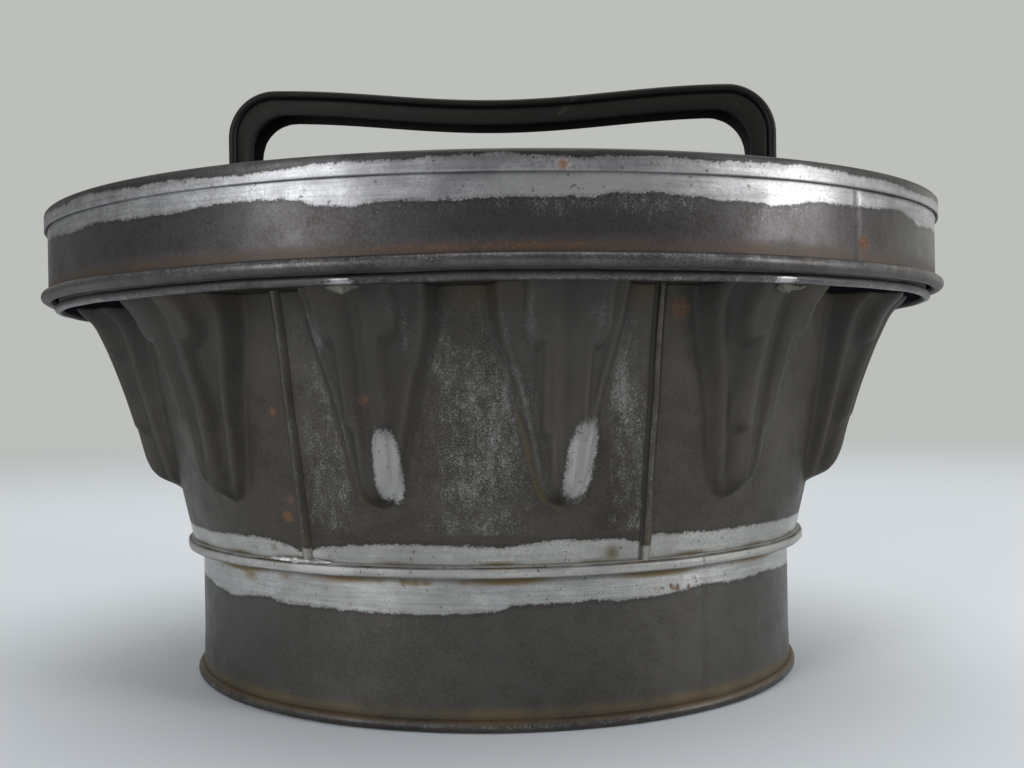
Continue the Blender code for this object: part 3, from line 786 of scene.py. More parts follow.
@dataclass(frozen=True)
class OldTin:
    """Oxidised tin with bright patches, flecks, rust, stains, soot, painted shade and painted highlights where a mesh
    is painted with them.
    """

    name: str
    dark: Color
    light: Color
    bright_low: Color = (0.30, 0.30, 0.29)
    bright_high: Color = (0.52, 0.52, 0.51)
    polished: Color = (0.47, 0.47, 0.455)
    rust_low: Color = (0.060, 0.026, 0.012)
    rust_high: Color = (0.190, 0.085, 0.034)
    stain: Color = (0.105, 0.075, 0.040)
    soot_and_shade: Color = (0.020, 0.018, 0.016)
    burnish_and_highlight: Color = (0.130, 0.118, 0.100)
    metallic: float = 0.70
    roughness: float = 0.46
    bright_roughness: float = 0.36
    speckle: float = 0.10
    bright_base: float = UNPAINTED
    bright_metal: float = 0.92
    drawn: float = 0.30
    specular: float = 0.5
    scratches: float = 0.22

    def bare_tin(self, graph: Graph, patina: dict[str, bpy.types.NodeSocket], worn: object) -> bpy.types.NodeSocket:
        """Colour of bare tin.

        Args:
            graph: The material's graph.
            patina: Outputs of the patina.
            worn: Where the tin is polished by wear.

        Returns:
            The colour.
        """
        tin = graph.tint(patina["Cloud"], self.bright_low, self.bright_high)
        tin = graph.tint(graph.ease(patina["Grain"], 0.40, 0.66, 0.65), tin, self.bright_low)
        tin = graph.layer(patina["Drawn"], self.drawn, tin, self.dark)
        tin = graph.tint(graph.ease(worn, 0.5, 1.0, 0.75), tin, self.polished)
        tin = graph.layer(patina["Pits"], 0.60, tin, self.soot_and_shade)
        return graph.tint(graph.ease(patina["Grain"], 0.37, 0.29, 0.6), tin, self.soot_and_shade)

    def material(self) -> bpy.types.Material:
        """Build the finish.

        Returns:
            The new material.
        """
        made, graph, shader, place = new_finish(self.name)
        masks = {m: graph.node("ShaderNodeAttribute", attribute_name=m.value).outputs["Fac"] for m in Mark}
        patina = PATINA.use(graph, Vector=place)
        flecks = SPECKLE.use(graph, Vector=place, Amount=graph.plus(masks[Mark.WEAR], self.speckle))
        patch = PATCH_EDGE.use(graph, Vector=place, Distance=graph.plus(masks[Mark.BRIGHT], self.bright_base))
        rust = RUST.use(graph, Vector=place, Amount=masks[Mark.RUST])
        lines = SCRATCHES.use(graph, Vector=place, Amount=self.scratches)

        skin = graph.tint(patina["Cloud"], self.dark, self.light)
        skin = graph.tint(graph.ease(patina["Grain"], 0.42, 0.72, 0.75), skin, self.light)
        skin = graph.tint(graph.ease(patina["Grain"], 0.48, 0.30, 0.65), skin, self.dark)
        tin = self.bare_tin(graph, patina, masks[Mark.WEAR])
        # burnished ridges with painted highlights
        skin = graph.layer(masks[Mark.SHEEN], 0.55, skin, self.burnish_and_highlight)
        skin = graph.layer(flecks["Haze"], 0.17, skin, self.bright_low)
        skin = graph.layer(flecks["Mask"], 0.72, skin, self.bright_low)
        skin = graph.layer(lines["Mask"], 0.22, skin, self.bright_low)
        color = graph.tint(patch["Mask"], skin, tin)
        color = graph.layer(patch["Rim"], 0.35, color, self.soot_and_shade)
        stain = graph.times(masks[Mark.STAIN], graph.scale(patina["Cloud"], 0.60, 1.10), clamp=True)
        color = graph.tint(graph.ease(stain, 0.06, 0.72, 0.96), color, self.stain)
        rusty = graph.tint(rust["Deep"], self.rust_high, self.rust_low)
        color = graph.layer(rust["Mask"], 0.9, color, rusty)
        # soot, dirt and painted shade where the dark mask is painted
        color = graph.layer(masks[Mark.DARK], 0.8, color, self.soot_and_shade)
        graph.feed(shader.inputs["Base Color"], color)

        rough = graph.between(patina["Cloud"], self.roughness + 0.07, self.roughness - 0.05)
        rough = graph.between(patch["Mask"], rough, self.bright_roughness)
        rough = graph.between(flecks["Mask"], rough, self.bright_roughness)
        rough = graph.between(rust["Mask"], rough, 0.85)
        rough = graph.between(stain, rough, 0.65)
        rough = graph.between(masks[Mark.DARK], rough, 0.75)
        graph.feed(shader.inputs["Roughness"], rough)
        metal = graph.between(patch["Mask"], self.metallic, self.bright_metal)
        metal = graph.between(rust["Mask"], metal, 0.0)
        metal = graph.between(stain, metal, 0.25)
        metal = graph.between(masks[Mark.DARK], metal, 0.05)
        graph.feed(shader.inputs["Metallic"], metal)
        shader.inputs["Specular IOR Level"].default_value = self.specular

        height = graph.plus(graph.times(patina["Grain"], 0.10), graph.times(patina["Cloud"], 0.25))
        height = graph.plus(height, graph.times(patch["Mask"], 0.35))
        height = graph.plus(height, graph.times(rust["Mask"], 0.5))
        height = graph.minus(height, graph.times(lines["Mask"], 0.2))
        graph.bump(shader, height, 0.35, 0.2 * MM)
        return made


@dataclass(frozen=True)
class BlackStrap:
    """Black japanned strap, rubbed to grey-green on its flats."""

    name: str = "black_strap"
    dark: Color = (0.0065, 0.0060, 0.0055)
    worn: Color = (0.019, 0.0175, 0.013)
    roughness: float = 0.46

    def material(self) -> bpy.types.Material:
        """Build the finish.

        Returns:
            The new material.
        """
        made, graph, shader, place = new_finish(self.name)
        wear = graph.node("ShaderNodeAttribute", attribute_name=Mark.WEAR.value).outputs["Fac"]
        patina = PATINA.use(graph, Vector=place, Scale=1.3)
        flecks = SPECKLE.use(graph, Vector=place, Amount=graph.times(wear, 0.35))
        lines = SCRATCHES.use(graph, Vector=place, Amount=0.6)
        share = graph.times(wear, graph.scale(patina["Cloud"], 0.55, 1.0), clamp=True)
        color = graph.tint(share, self.dark, self.worn)
        color = graph.layer(flecks["Mask"], 0.5, color, (0.16, 0.15, 0.13))
        color = graph.layer(lines["Mask"], 0.25, color, (0.12, 0.12, 0.10))
        graph.feed(shader.inputs["Base Color"], color)
        graph.feed(shader.inputs["Roughness"], graph.between(patina["Cloud"], self.roughness + 0.10, self.roughness))
        shader.inputs["Metallic"].default_value = 0.25
        shader.inputs["Specular IOR Level"].default_value = 0.25
        graph.bump(shader, graph.plus(graph.times(patina["Grain"], 0.4), patina["Cloud"]), 0.30, 0.2 * MM)
        return made


@dataclass(frozen=True)
class LumpySolder:
    """Dull bright solder."""

    name: str = "dull_solder"
    low: Color = (0.050, 0.047, 0.034)
    high: Color = (0.135, 0.130, 0.105)

    def material(self) -> bpy.types.Material:
        """Build the finish.

        Returns:
            The new material.
        """
        made, graph, shader, place = new_finish(self.name)
        patina = PATINA.use(graph, Vector=place, Scale=2.0)
        graph.feed(shader.inputs["Base Color"], graph.tint(patina["Cloud"], self.low, self.high))
        graph.feed(shader.inputs["Roughness"], graph.between(patina["Grain"], 0.38, 0.58))
        shader.inputs["Metallic"].default_value = 0.5
        graph.bump(shader, patina["Cloud"], 0.4, 0.3 * MM)
        return made


Finish = OldTin | BlackStrap | LumpySolder


@dataclass
class Finishes:
    """One of each finish, built on first use."""

    panel: OldTin = OldTin("panel_tin", (0.034, 0.0285, 0.0225), (0.067, 0.059, 0.049), (0.26, 0.26, 0.245),
                           (0.45, 0.45, 0.425), stain=(0.100, 0.074, 0.034), bright_base=0.0, bright_metal=0.55,
                           drawn=0.16)
    foot: OldTin = OldTin("foot_tin", (0.050, 0.046, 0.041), (0.078, 0.073, 0.067), stain=(0.165, 0.112, 0.036),
                          speckle=0.0, roughness=0.44, bright_base=0.0, bright_metal=0.80, scratches=0.08)
    lid: OldTin = OldTin("lid_tin", (0.031, 0.026, 0.024), (0.067, 0.063, 0.065), (0.24, 0.24, 0.25),
                         (0.53, 0.53, 0.54), stain=(0.062, 0.038, 0.022), roughness=0.36, bright_roughness=0.40,
                         bright_base=0.0)
    edge: OldTin = OldTin("wired_edge_tin", (0.029, 0.026, 0.026), (0.098, 0.091, 0.092), speckle=0.20,
                          roughness=0.38)
    foot_edge: OldTin = OldTin("foot_edge_tin", (0.034, 0.029, 0.027), (0.085, 0.077, 0.074), roughness=0.42)
    bright: OldTin = OldTin("bright_seam_tin", (0.060, 0.055, 0.050), (0.120, 0.115, 0.105), (0.30, 0.30, 0.285),
                            (0.50, 0.50, 0.48), stain=(0.12, 0.082, 0.036), speckle=0.2, bright_roughness=0.58,
                            bright_base=0.0, bright_metal=0.50)
    # near black and dull: painted shade for the hollow under the rim
    ledge: OldTin = OldTin("ledge_painted_shade", (0.005, 0.005, 0.0065), (0.011, 0.011, 0.014), stain=(0.045, 0.038, 0.030),
                           metallic=0.0, roughness=0.8, speckle=0.0, specular=0.0)
    inside: OldTin = OldTin("inside_tin", (0.12, 0.115, 0.105), (0.26, 0.255, 0.24), speckle=0.2, roughness=0.40)
    strap: BlackStrap = BlackStrap()
    solder: LumpySolder = LumpySolder()
    fresh_solder: LumpySolder = LumpySolder("fresh_solder", (0.30, 0.30, 0.28), (0.78, 0.78, 0.75))
    made: dict[str, bpy.types.Material] = field(default_factory=dict)

    def material(self, finish: Finish) -> bpy.types.Material:
        """The finish's material, built on first use."""
        if finish.name not in self.made:
            self.made[finish.name] = finish.material()
        return self.made[finish.name]

    def put(self, finish: Finish, *pieces: bpy.types.Object) -> None:
        """Give a finish to pieces.

        Args:
            finish: The finish.
            *pieces: The pieces that take it.
        """
        for piece in pieces:
            piece.data.materials.clear()
            piece.data.materials.append(self.material(finish))

    def put_on_node(self, finish: Finish, frame: dict, *nodes: str) -> None:
        """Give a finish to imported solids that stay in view.

        Args:
            finish: The finish.
            frame: The loaded frame.
            *nodes: Names of the solids.
        """
        for node in nodes:
            for slot in frame["nodes"][node].material_slots:
                slot.material = self.material(finish)


# The fluted body
@dataclass
class FlutePress:
    """The press that makes a flute: an outer boss and three tiers of paired lobes.

    Sizes are in millimetres, and curves run over the height above the panel's foot.
    """

    boss_width: Knots = ((0.0, 0.0), (13.0, 0.0), (14.6, 3.6), (17.0, 5.3), (21.0, 6.7), (30.0, 8.7), (41.0, 11.3),
                         (52.0, 14.7), (57.0, 15.9), (62.9, 16.7))
    boss_rise: Knots = ((0.0, 0.0), (13.4, 0.3), (16.0, 2.2), (21.0, 3.2), (30.0, 3.7), (41.0, 4.3), (52.0, 5.0),
                        (62.9, 6.4))
    boss_edge: Knots = ((0.0, 1.5), (14.0, 1.5), (30.0, 2.1), (62.9, 3.1))
    crest: Knots = ((0.0, 0.0), (13.2, 0.3), (14.3, 2.4), (15.8, 4.9), (18.0, 6.7), (21.0, 7.6), (30.0, 8.1),
                    (41.0, 8.9), (52.0, 10.6), (62.9, 13.2))
    tier_foot: Three = (50.2, 29.6, 13.6)
    tier_half: Three = (9.9, 5.8, 3.5)
    tier_grow: Three = (0.015, 0.012, 0.045)
    tier_round: Three = (3.6, 2.6, 4.3)
    tier_edge: Three = (2.0, 1.9, 2.7)
    groove: Knots = ((0.0, 0.0), (14.0, 0.0), (19.0, 0.5), (30.0, 1.1), (41.0, 1.6), (52.0, 2.1), (62.9, 2.9))
    groove_half: Knots = ((0.0, 1.1), (20.0, 1.2), (45.0, 1.9), (62.9, 2.5))
    shoulder: float = 2.0
    ridge: Knots = ((0.0, 0.0), (14.0, 0.0), (22.0, 0.25), (34.0, 0.50), (62.9, 0.85))
    flare: float = 2.6

    def inside(self, height: Array, across: Array, shift: float, pull: float) -> tuple[Array, list[Array]]:
        """Distance inside the boss and inside each tier, in millimetres.

        Args:
            height: Height above the panel's foot.
            across: Distance from the flute's middle.
            shift: How far this flute's upper tiers sit lower than the pattern's.
            pull: How far the top of its boss leans to one side.

        Returns:
            Distances inside the boss and inside each of the tiers.
        """
        away = np.abs(across)
        tiers = []
        for foot, half, grow, turn in zip(self.tier_foot, self.tier_half, self.tier_grow, self.tier_round):
            low = foot - shift if foot > 20.0 else foot
            side = half + grow * (height - low)
            in_x, in_y = away - (side - turn), 0.6 * (low - height) + turn
            far = np.hypot(np.maximum(in_x, 0.0), np.maximum(in_y, 0.0)) + np.minimum(np.maximum(in_x, in_y), 0.0)
            tiers.append(turn - far)
        return through(self.boss_width, height) - np.abs(across - pull * smooth(13.0, 58.0, height)), tiers

    def stamp(self, height: Array, across: Array, shift: float, pull: float) -> tuple[Array, Array]:
        """Shape of the sheet round one flute, what gathers and wears on it, and its painted shade and highlights.

        Args:
            height: Height above the panel's foot.
            across: Distance from the flute's middle.
            shift: How far this flute's upper tiers sit lower than the pattern's.
            pull: How far the top of its boss leans to one side.

        Returns:
            How far the sheet stands out in millimetres, and shares of soot with painted shade, of rubbing, of stain
            and of burnish with painted highlights.
        """
        in_boss, in_tiers = self.inside(height, across, shift, pull)
        rise, edge = through(self.boss_rise, height), through(self.boss_edge, height)
        flank = -blend_high(-in_boss / edge, np.full_like(rise, -1.0), 0.22)
        boss = rise * blend_high(flank, np.zeros_like(rise), 0.05)
        lobe = np.zeros_like(boss)
        for inside, fall in zip(in_tiers, self.tier_edge):
            share = np.clip(inside / fall, 0.0, 1.0)
            lobe = np.maximum(lobe, 0.6 * np.sin(0.5 * math.pi * share) + 0.4 * smooth(0.0, 1.0, share))
        on_edge = in_boss - edge
        boss = boss + self.shoulder * rise / 5.0 * smooth(0.0, 5.0, on_edge)
        boss = boss + through(self.ridge, height) * hill(on_edge, 0.0, 0.42 * edge) * (1.0 - lobe)
        valley = hill(across, 0.0, through(self.groove_half, height))
        groove = through(self.groove, height) * valley * smooth(0.75, 1.0, lobe)
        flare = self.flare * smooth(57.0, 65.0, height) ** 2 * np.clip(boss / np.maximum(rise, 0.1), 0.0, 1.0)
        relief = boss + np.maximum(through(self.crest, height) - boss, 0.0) * lobe - groove + flare

        in_tier = np.maximum.reduce(in_tiers)
        on_lobe = in_tier > 0.0
        # soot and painted shade along the outlines of the boss and tiers and in the groove, and painted shade over the
        # whole boss
        soot_and_shade = (0.42 * hill(in_boss, -0.2, 0.7) + 0.24 * hill(in_tier, -0.10, 0.44)
                + 0.34 * hill(across, 0.0, 1.3) * smooth(30.0, 60.0, height) * on_lobe)
        soot_and_shade = soot_and_shade * smooth(12.0, 26.0, height) + 0.42 * smooth(-0.5, 1.5, in_boss)
        rubbed = 0.7 * hill(in_tier, 1.2, 0.7) + 0.8 * hill(on_edge, 0.0, 0.6) + 0.5 * hill(in_boss, -1.4, 0.7)
        stain = 0.75 * hill(in_boss, 0.45, 0.75) * smooth(44.0, 30.0, height) * smooth(2.0, -1.0, across)
        # burnished ridges with painted highlights along them
        sheen = (0.9 * hill(on_edge, 0.0, 0.55) + 0.7 * hill(in_tier, 1.7, 0.65)
                 + 0.4 * hill(np.abs(across), 2.4, 0.6) * on_lobe)
        reach = smooth(13.0, 20.0, height)
        return relief, np.array((soot_and_shade * reach, rubbed * reach, stain, sheen * reach))


@dataclass
class FlutedBody:
    """The soldered body: four fluted panels, upright seams, the ledge, the rim's edge, collar and solder."""

    sizes: MouldSizes = SIZES
    press: FlutePress = field(default_factory=FlutePress)
    pitch: float = 0.00060
    rows: int = 121
    front_half: float = 0.045
    front_flutes: int = 2
    end_flutes: int = 4
    front_depth: float = 0.70
    front_pull: float = 2.6
    rim_lines: list[Array] = field(default_factory=list)
    seam_fold: Knots = ((-1.45, -0.5), (-1.45, 0.18), (-1.05, 0.30), (-0.70, 0.30), (-0.62, 0.55), (-0.52, 0.95),
                        (-0.28, 1.18), (0.10, 1.22), (0.55, 1.08), (0.95, 0.78), (1.30, 0.40), (1.60, 0.10),
                        (1.60, -0.5))
    rubbed_lobes: tuple = ((-1, 10.5, 53.0, 1.4, 7.0), (-1, -9.5, 55.0, 1.6, 4.0), (1, 6.4, 56.0, 1.3, 5.0),
                           (1, -8.0, 55.0, 1.3, 6.0), (1, -13.0, 51.0, 1.1, 8.0), (1, 13.5, 46.0, 1.3, 9.0))
    tinned_line: Knots = ((-75.0, 44.6), (-52.0, 44.3), (-36.5, 44.9), (-30.0, 43.6), (-27.9, 41.9), (-23.6, 43.4),
                          (-14.6, 44.9), (-7.6, 44.8), (-0.3, 44.6), (4.5, 44.1), (13.0, 45.6), (23.4, 45.1),
                          (25.9, 44.2), (28.0, 45.8), (36.3, 45.4), (55.0, 45.1), (75.0, 44.8))
    rust: tuple[Spot, ...] = (
        Spot(0.0493, -0.0738, 0.0988, 0.0032, 1.0), Spot(-0.0453, -0.0658, 0.0507, 0.0020, 1.0),
        Spot(-0.0473, -0.0701, 0.0764, 0.0016, 0.85), Spot(-0.0226, -0.0836, 0.0789, 0.0018, 1.0),
        Spot(-0.0870, -0.0560, 0.0823, 0.0022, 0.8), Spot(-0.0440, -0.0668, 0.0550, 0.0022, 0.7),
        Spot(0.0700, 0.0520, 0.0700, 0.0030, 0.8), Spot(-0.0300, 0.0800, 0.0850, 0.0020, 0.9))
    stains: tuple[Spot, ...] = (
        Spot(0.0404, -0.0658, 0.0422, 0.0015, 0.9), Spot(0.0330, -0.0692, 0.0418, 0.0022, 0.9),
        Spot(-0.0500, -0.0615, 0.0425, 0.0016, 0.4), Spot(-0.0374, -0.0780, 0.1022, 0.0016, 0.9),
        Spot(-0.0371, -0.0775, 0.0995, 0.0012, 0.6))
    smear: Spot = Spot(-0.0400, -0.0662, 0.0410, 0.0080)

    def levels(self) -> list[tuple[float, Oval, Array, Array, list[float]]]:
        """Oval, length table and seam places at each row, from the foot up."""
        found = []
        s = self.sizes
        for height in np.linspace(-s.gap, s.body_height + s.gap + s.ledge_recess, self.rows):
            oval = s.wall(float(height))
            turn, length = oval.table()
            span = s.upright_low + (s.upright_high - s.upright_low) * height / s.body_height
            seam = float(np.interp(math.asin(span / oval.a), turn, length))
            half = float(length[-1]) / 2.0
            found.append((float(height), oval, turn, length, [seam, half - seam, half + seam, 2.0 * half - seam]))
        return found

    def pressed(self, level: Array, across: Array, which: Array, start: int, flutes: int) -> tuple[Array, Array]:
        """Press the flutes of one row of a panel.

        Args:
            level: Heights above the panel's foot, in millimetres.
            across: Distances from the nearest flute's middle, in millimetres.
            which: Numbers of those flutes.
            start: Seam where the panel starts.
            flutes: How many flutes it has.

        Returns:
            How far the sheet stands out in millimetres, and shares of soot with painted shade, of rubbing, of stain
            and of burnish with painted highlights.
        """
        relief, crease = np.zeros(len(across)), np.zeros((4, len(across)))
        shallow = flutes == self.front_flutes
        for k in range(flutes):
            mine = which == k
            # no two flutes were struck quite alike
            shift = 1.2 * math.sin(2.3 * k + 1.7 * start + 0.6)
            lean = 0.010 * math.sin(1.9 * k + start) * (level[mine] - 30.0)
            pull = (0.5 - k) * self.front_pull if shallow else 0.0
            relief[mine], crease[:, mine] = self.press.stamp(level[mine], across[mine] + lean, shift, pull)
        if shallow:
            relief *= self.front_depth
            crease[3] *= self.front_depth
        return relief, crease

    def panel(self, name: str, start: int, end: int, flutes: int) -> bpy.types.Object:
        """Make one panel.

        Args:
            name: Node that the panel replaces.
            start: Seam where it starts.
            end: Seam where it ends.
            flutes: How many flutes it has.

        Returns:
            The panel.
        """
        rows = self.levels()
        top = rows[-1][4]
        width = top[end] - top[start] + (rows[-1][3][-1] if start > end else 0.0)
        columns = int(width / self.pitch) + 1
        points, creases, nearest = [], [], []
        for height, oval, turn, length, seams in rows:
            first = seams[start] - (length[-1] if start > end else 0.0)
            last = seams[end]
            along = np.linspace(first, last, columns)
            cell = (last - first) / flutes
            which = np.clip(((along - first) / cell).astype(int), 0, flutes - 1)
            across = (along - first - (which + 0.5) * cell) / MM
            relief, crease = self.pressed(np.full(columns, height / MM), across, which, start, flutes)
            around = np.interp(along % length[-1], length, turn)
            normal = np.stack((np.sin(around) / oval.a, -np.cos(around) / oval.b), axis=-1)
            normal /= np.linalg.norm(normal, axis=-1, keepdims=True)
            # the sheet waves a little, except where the seams hold it
            fade = smooth(0.0, 6.0, np.minimum(along - first, last - along) / MM)
            wave = 0.11 * np.sin(along * 95.0 + height * 60.0) + 0.08 * np.sin(along * 210.0 - height * 130.0 + 1.0)
            place = oval.place(around, self.sizes.panel_low + height)
            place[:, :2] += normal * ((relief + wave * fade) * MM)[:, None]
            points.append(place)
            creases.append(crease)
            nearest.append(across)
        points = np.array(points)
        self.rim_lines.append(points[-1, :-1])
        marks = self.paint(points, np.array(nearest), np.array(creases))
        made = new_piece(name + "_pressed", points, grid_faces(self.rows, columns, False, False), Body.MOULD,
                         [name], marks, 75.0)
        return thicken(made, self.sizes.sheet)

    def at_front(self, points: Array) -> Array:
        """Which points are on the front panel."""
        return (points[..., 1] < 0.0) & (np.abs(points[..., 0]) < self.front_half)

    def patches(self, points: Array, across: Array, bright: Array) -> tuple[Array, Array]:
        """Add the two bare patches of tin at the front to the bright areas.

        Args:
            points: The panel's points.
            across: Distance from the nearest flute's middle, in millimetres.
            bright: Distance inside the bright areas so far, in millimetres.

        Returns:
            Distance inside the bright areas, and where the patches are.
        """
        x, height = points[..., 0], (points[..., 2] - self.sizes.panel_low) / MM
        front = self.at_front(points)
        inside = np.zeros(x.shape)
        for side, middle, half, level, tall in ((x < 0.0, 3.8, 2.7, 23.6, 8.4),
                                                (x > 0.0, 3.9 + 0.16 * (height - 23.6), 3.8, 24.2, 9.3)):
            patch = (np.abs((across - middle) / half) ** 3 + np.abs((height - level) / tall) ** 3) ** (1.0 / 3.0)
            bright = np.where(front & side, np.maximum(bright, (1.0 - patch) * 2.8), bright)
            inside = np.maximum(inside, front & side & (patch < 1.1))
        return bright, inside

    def worn(self, points: Array, across: Array, rubbed: Array) -> Array:
        """Wear of a panel.

        Args:
            points: The panel's points.
            across: Distance from the nearest flute's middle, in millimetres.
            rubbed: Rubbing on the flutes' edges.

        Returns:
            Shares of the dark skin that are rubbed through.
        """
        x, y, height = points[..., 0], points[..., 1], (points[..., 2] - self.sizes.panel_low) / MM
        front = self.at_front(points)
        flat = smooth(4.5, 9.5, np.abs(across) + 0.13 * (62.0 - height))
        zones = hill(x, 0.003, 0.0135, 4) + 0.95 * hill(x, 0.0365, 0.0055, 4) + 0.80 * hill(x, -0.0345, 0.0070, 4)
        wear = 0.80 * zones * flat * smooth(68.0, 40.0, height) * smooth(2.0, 9.0, height)
        lobes = np.zeros_like(wear)
        for side, middle, level, wide, tall in self.rubbed_lobes:
            lobes += front * (x * side > 0.0) * hill(across, middle, wide) * hill(height, level, tall)
        wear = np.where(y < 0.0, wear, 0.35 * flat) + 0.25 * front * smooth(46.0, 60.0, height)
        return (wear + 0.45 * rubbed * np.where(front, 1.0, 0.40) + 0.75 * lobes) * (height > 7.0)

    def paint(self, points: Array, across: Array, creases: Array) -> dict[Mark, Array]:
        """Paint a panel's patches, wear and rust.

        Args:
            points: The panel's points.
            across: Distance from the nearest flute's middle, in millimetres.
            creases: Shares of soot with painted shade, of rubbing, of stain and of burnish with painted highlights
                that the flutes give.

        Returns:
            The masks.
        """
        soot_and_shade, rubbed, stained, sheen = np.moveaxis(creases, 1, 0)
        height = (points[..., 2] - self.sizes.panel_low) / MM
        turn = self.sizes.foot_turn(points)
        tinned = around_line(self.tinned_line, turn) - points[..., 2] / MM
        bright, patches = self.patches(points, across, tinned)
        wear = np.maximum(self.worn(points, across, rubbed), patches)
        wear = np.maximum(wear, smooth(4.0, 2.5, height) * spots_on(points, (self.smear,)))
        stain = np.maximum.reduce([smooth(1.5, 0.2, height) * (0.30 + 0.40 * np.sin(turn * 23.0)),
                                   spots_on(points, self.stains),
                                   stained * np.where(self.at_front(points), 1.0, 0.12),
                                   smooth(55.0, 63.0, height) * (0.32 + 0.30 * np.sin(turn * 19.0 + 0.6))])
        # soot and painted shade from the flutes, and the panels painted darker towards the top
        dark = soot_and_shade + 0.55 * smooth(30.0, 58.0, height)
        return {Mark.BRIGHT: bright, Mark.WEAR: np.clip(wear, 0.0, 1.0), Mark.RUST: spots_on(points, self.rust),
                Mark.STAIN: np.clip(stain, 0.0, 1.0), Mark.DARK: np.clip(dark, 0.0, 0.8),
                Mark.SHEEN: np.clip(sheen, 0.0, 1.0)}

    def upright_seam(self, name: str, which: int) -> bpy.types.Object:
        """Make one folded upright seam.

        Args:
            name: Node that the seam replaces.
            which: Its number round the body.

        Returns:
            The seam.
        """
        rows = []
        for height, oval, turn, length, seams in self.levels()[::3]:
            around = float(np.interp(seams[which], length, turn))
            normal = Vector((math.sin(around) / oval.a, -math.cos(around) / oval.b, 0.0)).normalized()
            onward = Vector((-normal.y, normal.x, 0.0))
            base = Vector(oval.place(np.array(around), np.array(self.sizes.panel_low + height)).tolist())
            wobble = 0.10 * math.sin(height * 210.0 + which)
            rows.append([tuple(base + onward * ((s + wobble) * MM) + normal * (d * MM)) for s, d in self.seam_fold])
        points = np.array(rows)
        z = points[..., 2]
        side = np.broadcast_to(np.array([s for s, _ in self.seam_fold])[None, :], z.shape)
        marks = {Mark.BRIGHT: 3.4 - (z - self.sizes.panel_low) / MM,
                 Mark.WEAR: 0.15 + 0.45 * ((side > -0.6) & (side < 0.8)), Mark.RUST: 0.40 * smooth(0.053, 0.041, z),
                 Mark.STAIN: 0.32 * smooth(0.060, 0.044, z), Mark.DARK: 0.85 * (side < -0.62) + 0.25 * (side > 1.0)}
        return new_piece(name + "_folded", points, capped_tube(*z.shape), Body.MOULD, [name], marks,
                         40.0)

    def rim_bead(self) -> bpy.types.Object:
        """Make the rim's wired edge."""
        s = self.sizes

        def wander(turn: Array) -> tuple[Array, Array]:
            """Small dents of the edge."""
            return (ripple(turn, ((0.05, 9.0, 0.4), (0.04, 23.0, 1.0))) * MM - 0.1 * MM,
                    ripple(turn, ((0.10, 5.0, 2.0), (0.07, 13.0, 0.3), (0.04, 31.0, 0.9))) * MM)

        def paint(turn: Array, points: Array) -> dict[Mark, Array]:
            """Rubbed lower lip, also painted lighter as a painted highlight; painted shade on the upper part under the
            lid's bead and on the inner side; smeared solder.
            """
            low = smooth(s.rim_bead_z + 0.7 * MM, s.rim_bead_z - 0.2 * MM, points[..., 2])
            inner = smooth(-0.1, -0.6, np.cos(np.arange(points.shape[1]) * TAU / points.shape[1]))[None, :]
            signed = turn_from(turn)
            lump = hill(signed, -0.19, 0.035) + hill(signed, 0.60, 0.045)
            smear = lump * smooth(s.rim_bead_z + 1.3 * MM, s.rim_bead_z + 0.6 * MM, points[..., 2])
            return {Mark.WEAR: (0.10 + 0.55 * low + 0.6 * lump * low) * (1.0 - inner),
                    Mark.BRIGHT: 2.2 * smear - 1.45 - UNPAINTED,
                    Mark.DARK: np.maximum(0.45 * (1.0 - low) * (1.0 - np.clip(lump, 0.0, 1.0)), 1.2 * inner)}

        section = circle_section(s.rim_bead_seen, -s.rim_bead_seen, s.rim_bead_z + 0.57 * MM, 18, wander)
        return round_ring("rim_bead_rolled", s.rim, section, 360, Body.MOULD, "rim_bead", paint)

    def ledge(self) -> bpy.types.Object:
        """Make the ledge from the panels' upper edges out to the rim, set up a little above its lower lip."""
        s = self.sizes
        inner = np.concatenate(self.rim_lines)
        turn = np.arctan2(inner[:, 0] / s.rim.a, -inner[:, 1] / s.rim.b)
        low = s.panel_high + s.gap + s.ledge_recess
        outer = s.rim.place(turn, np.full(len(turn), low), -s.rim_bead_seen)
        inner = inner * (1.0 - 0.004, 1.0 - 0.004, 1.0)
        section = [inner, outer, outer + (0.0, 0.0, s.sheet), inner + (0.0, 0.0, s.sheet)]
        points = np.stack(section, axis=1)
        faces = [tuple(reversed(f)) for f in grid_faces(len(turn), 4, True, True)]
        front = smooth(0.072, 0.050, np.abs(points[..., 0])) * (points[..., 1] < 0.0)
        return new_piece("rim_ledge_flat", points, faces, Body.MOULD, ["rim_ledge"],
                         {Mark.STAIN: front}, 30.0)

    def collar(self) -> bpy.types.Object:
        """Make the upright collar that the lid slides over."""
        s = self.sizes
        low, high = s.rim_bead_z + s.rim_bead_seen + 0.5 * MM, s.lid_top - s.lid_sheet - s.gap
        lap = Lap(4.35, 0.00030, 110.0, 26.0)

        def spread(turn: Array, height: Array) -> Array:
            """Lapped end and small dents."""
            free = smooth(low, low + 6.0 * MM, height)
            dents = ripple(turn, ((0.08, 5.0, 0.8), (0.06, 11.0, 2.1), (0.03, 27.0, 0.5))) * MM
            return lap.step(turn) - 0.1 * MM + free * dents

        def paint(turn: Array, points: Array) -> dict[Mark, Array]:
            """Rubbed upper lip, dirt and a little rust at the foot, and painted shade beside the lap."""
            up = (points[..., 2] - low) / MM
            uneven = 0.5 + 0.5 * np.sin(turn * 7.0 + 0.6) * np.cos(turn * 3.0)
            return {Mark.WEAR: 0.15 + 0.35 * smooth(20.5, 23.0, up), Mark.RUST: 0.46 * hill(up, 0.0, 1.3) * uneven,
                    Mark.STAIN: 0.36 * smooth(6.0, 1.0, up) * uneven,
                    Mark.DARK: 0.55 * smooth(1.8, 0.2, up) + lap.shade(turn)}

        path = upright_sheet(s.sheet, low, high, 24)
        return round_ring("rim_collar_rolled", s.collar, path_section(path, spread), 720, Body.MOULD,
                          "rim_collar", paint)

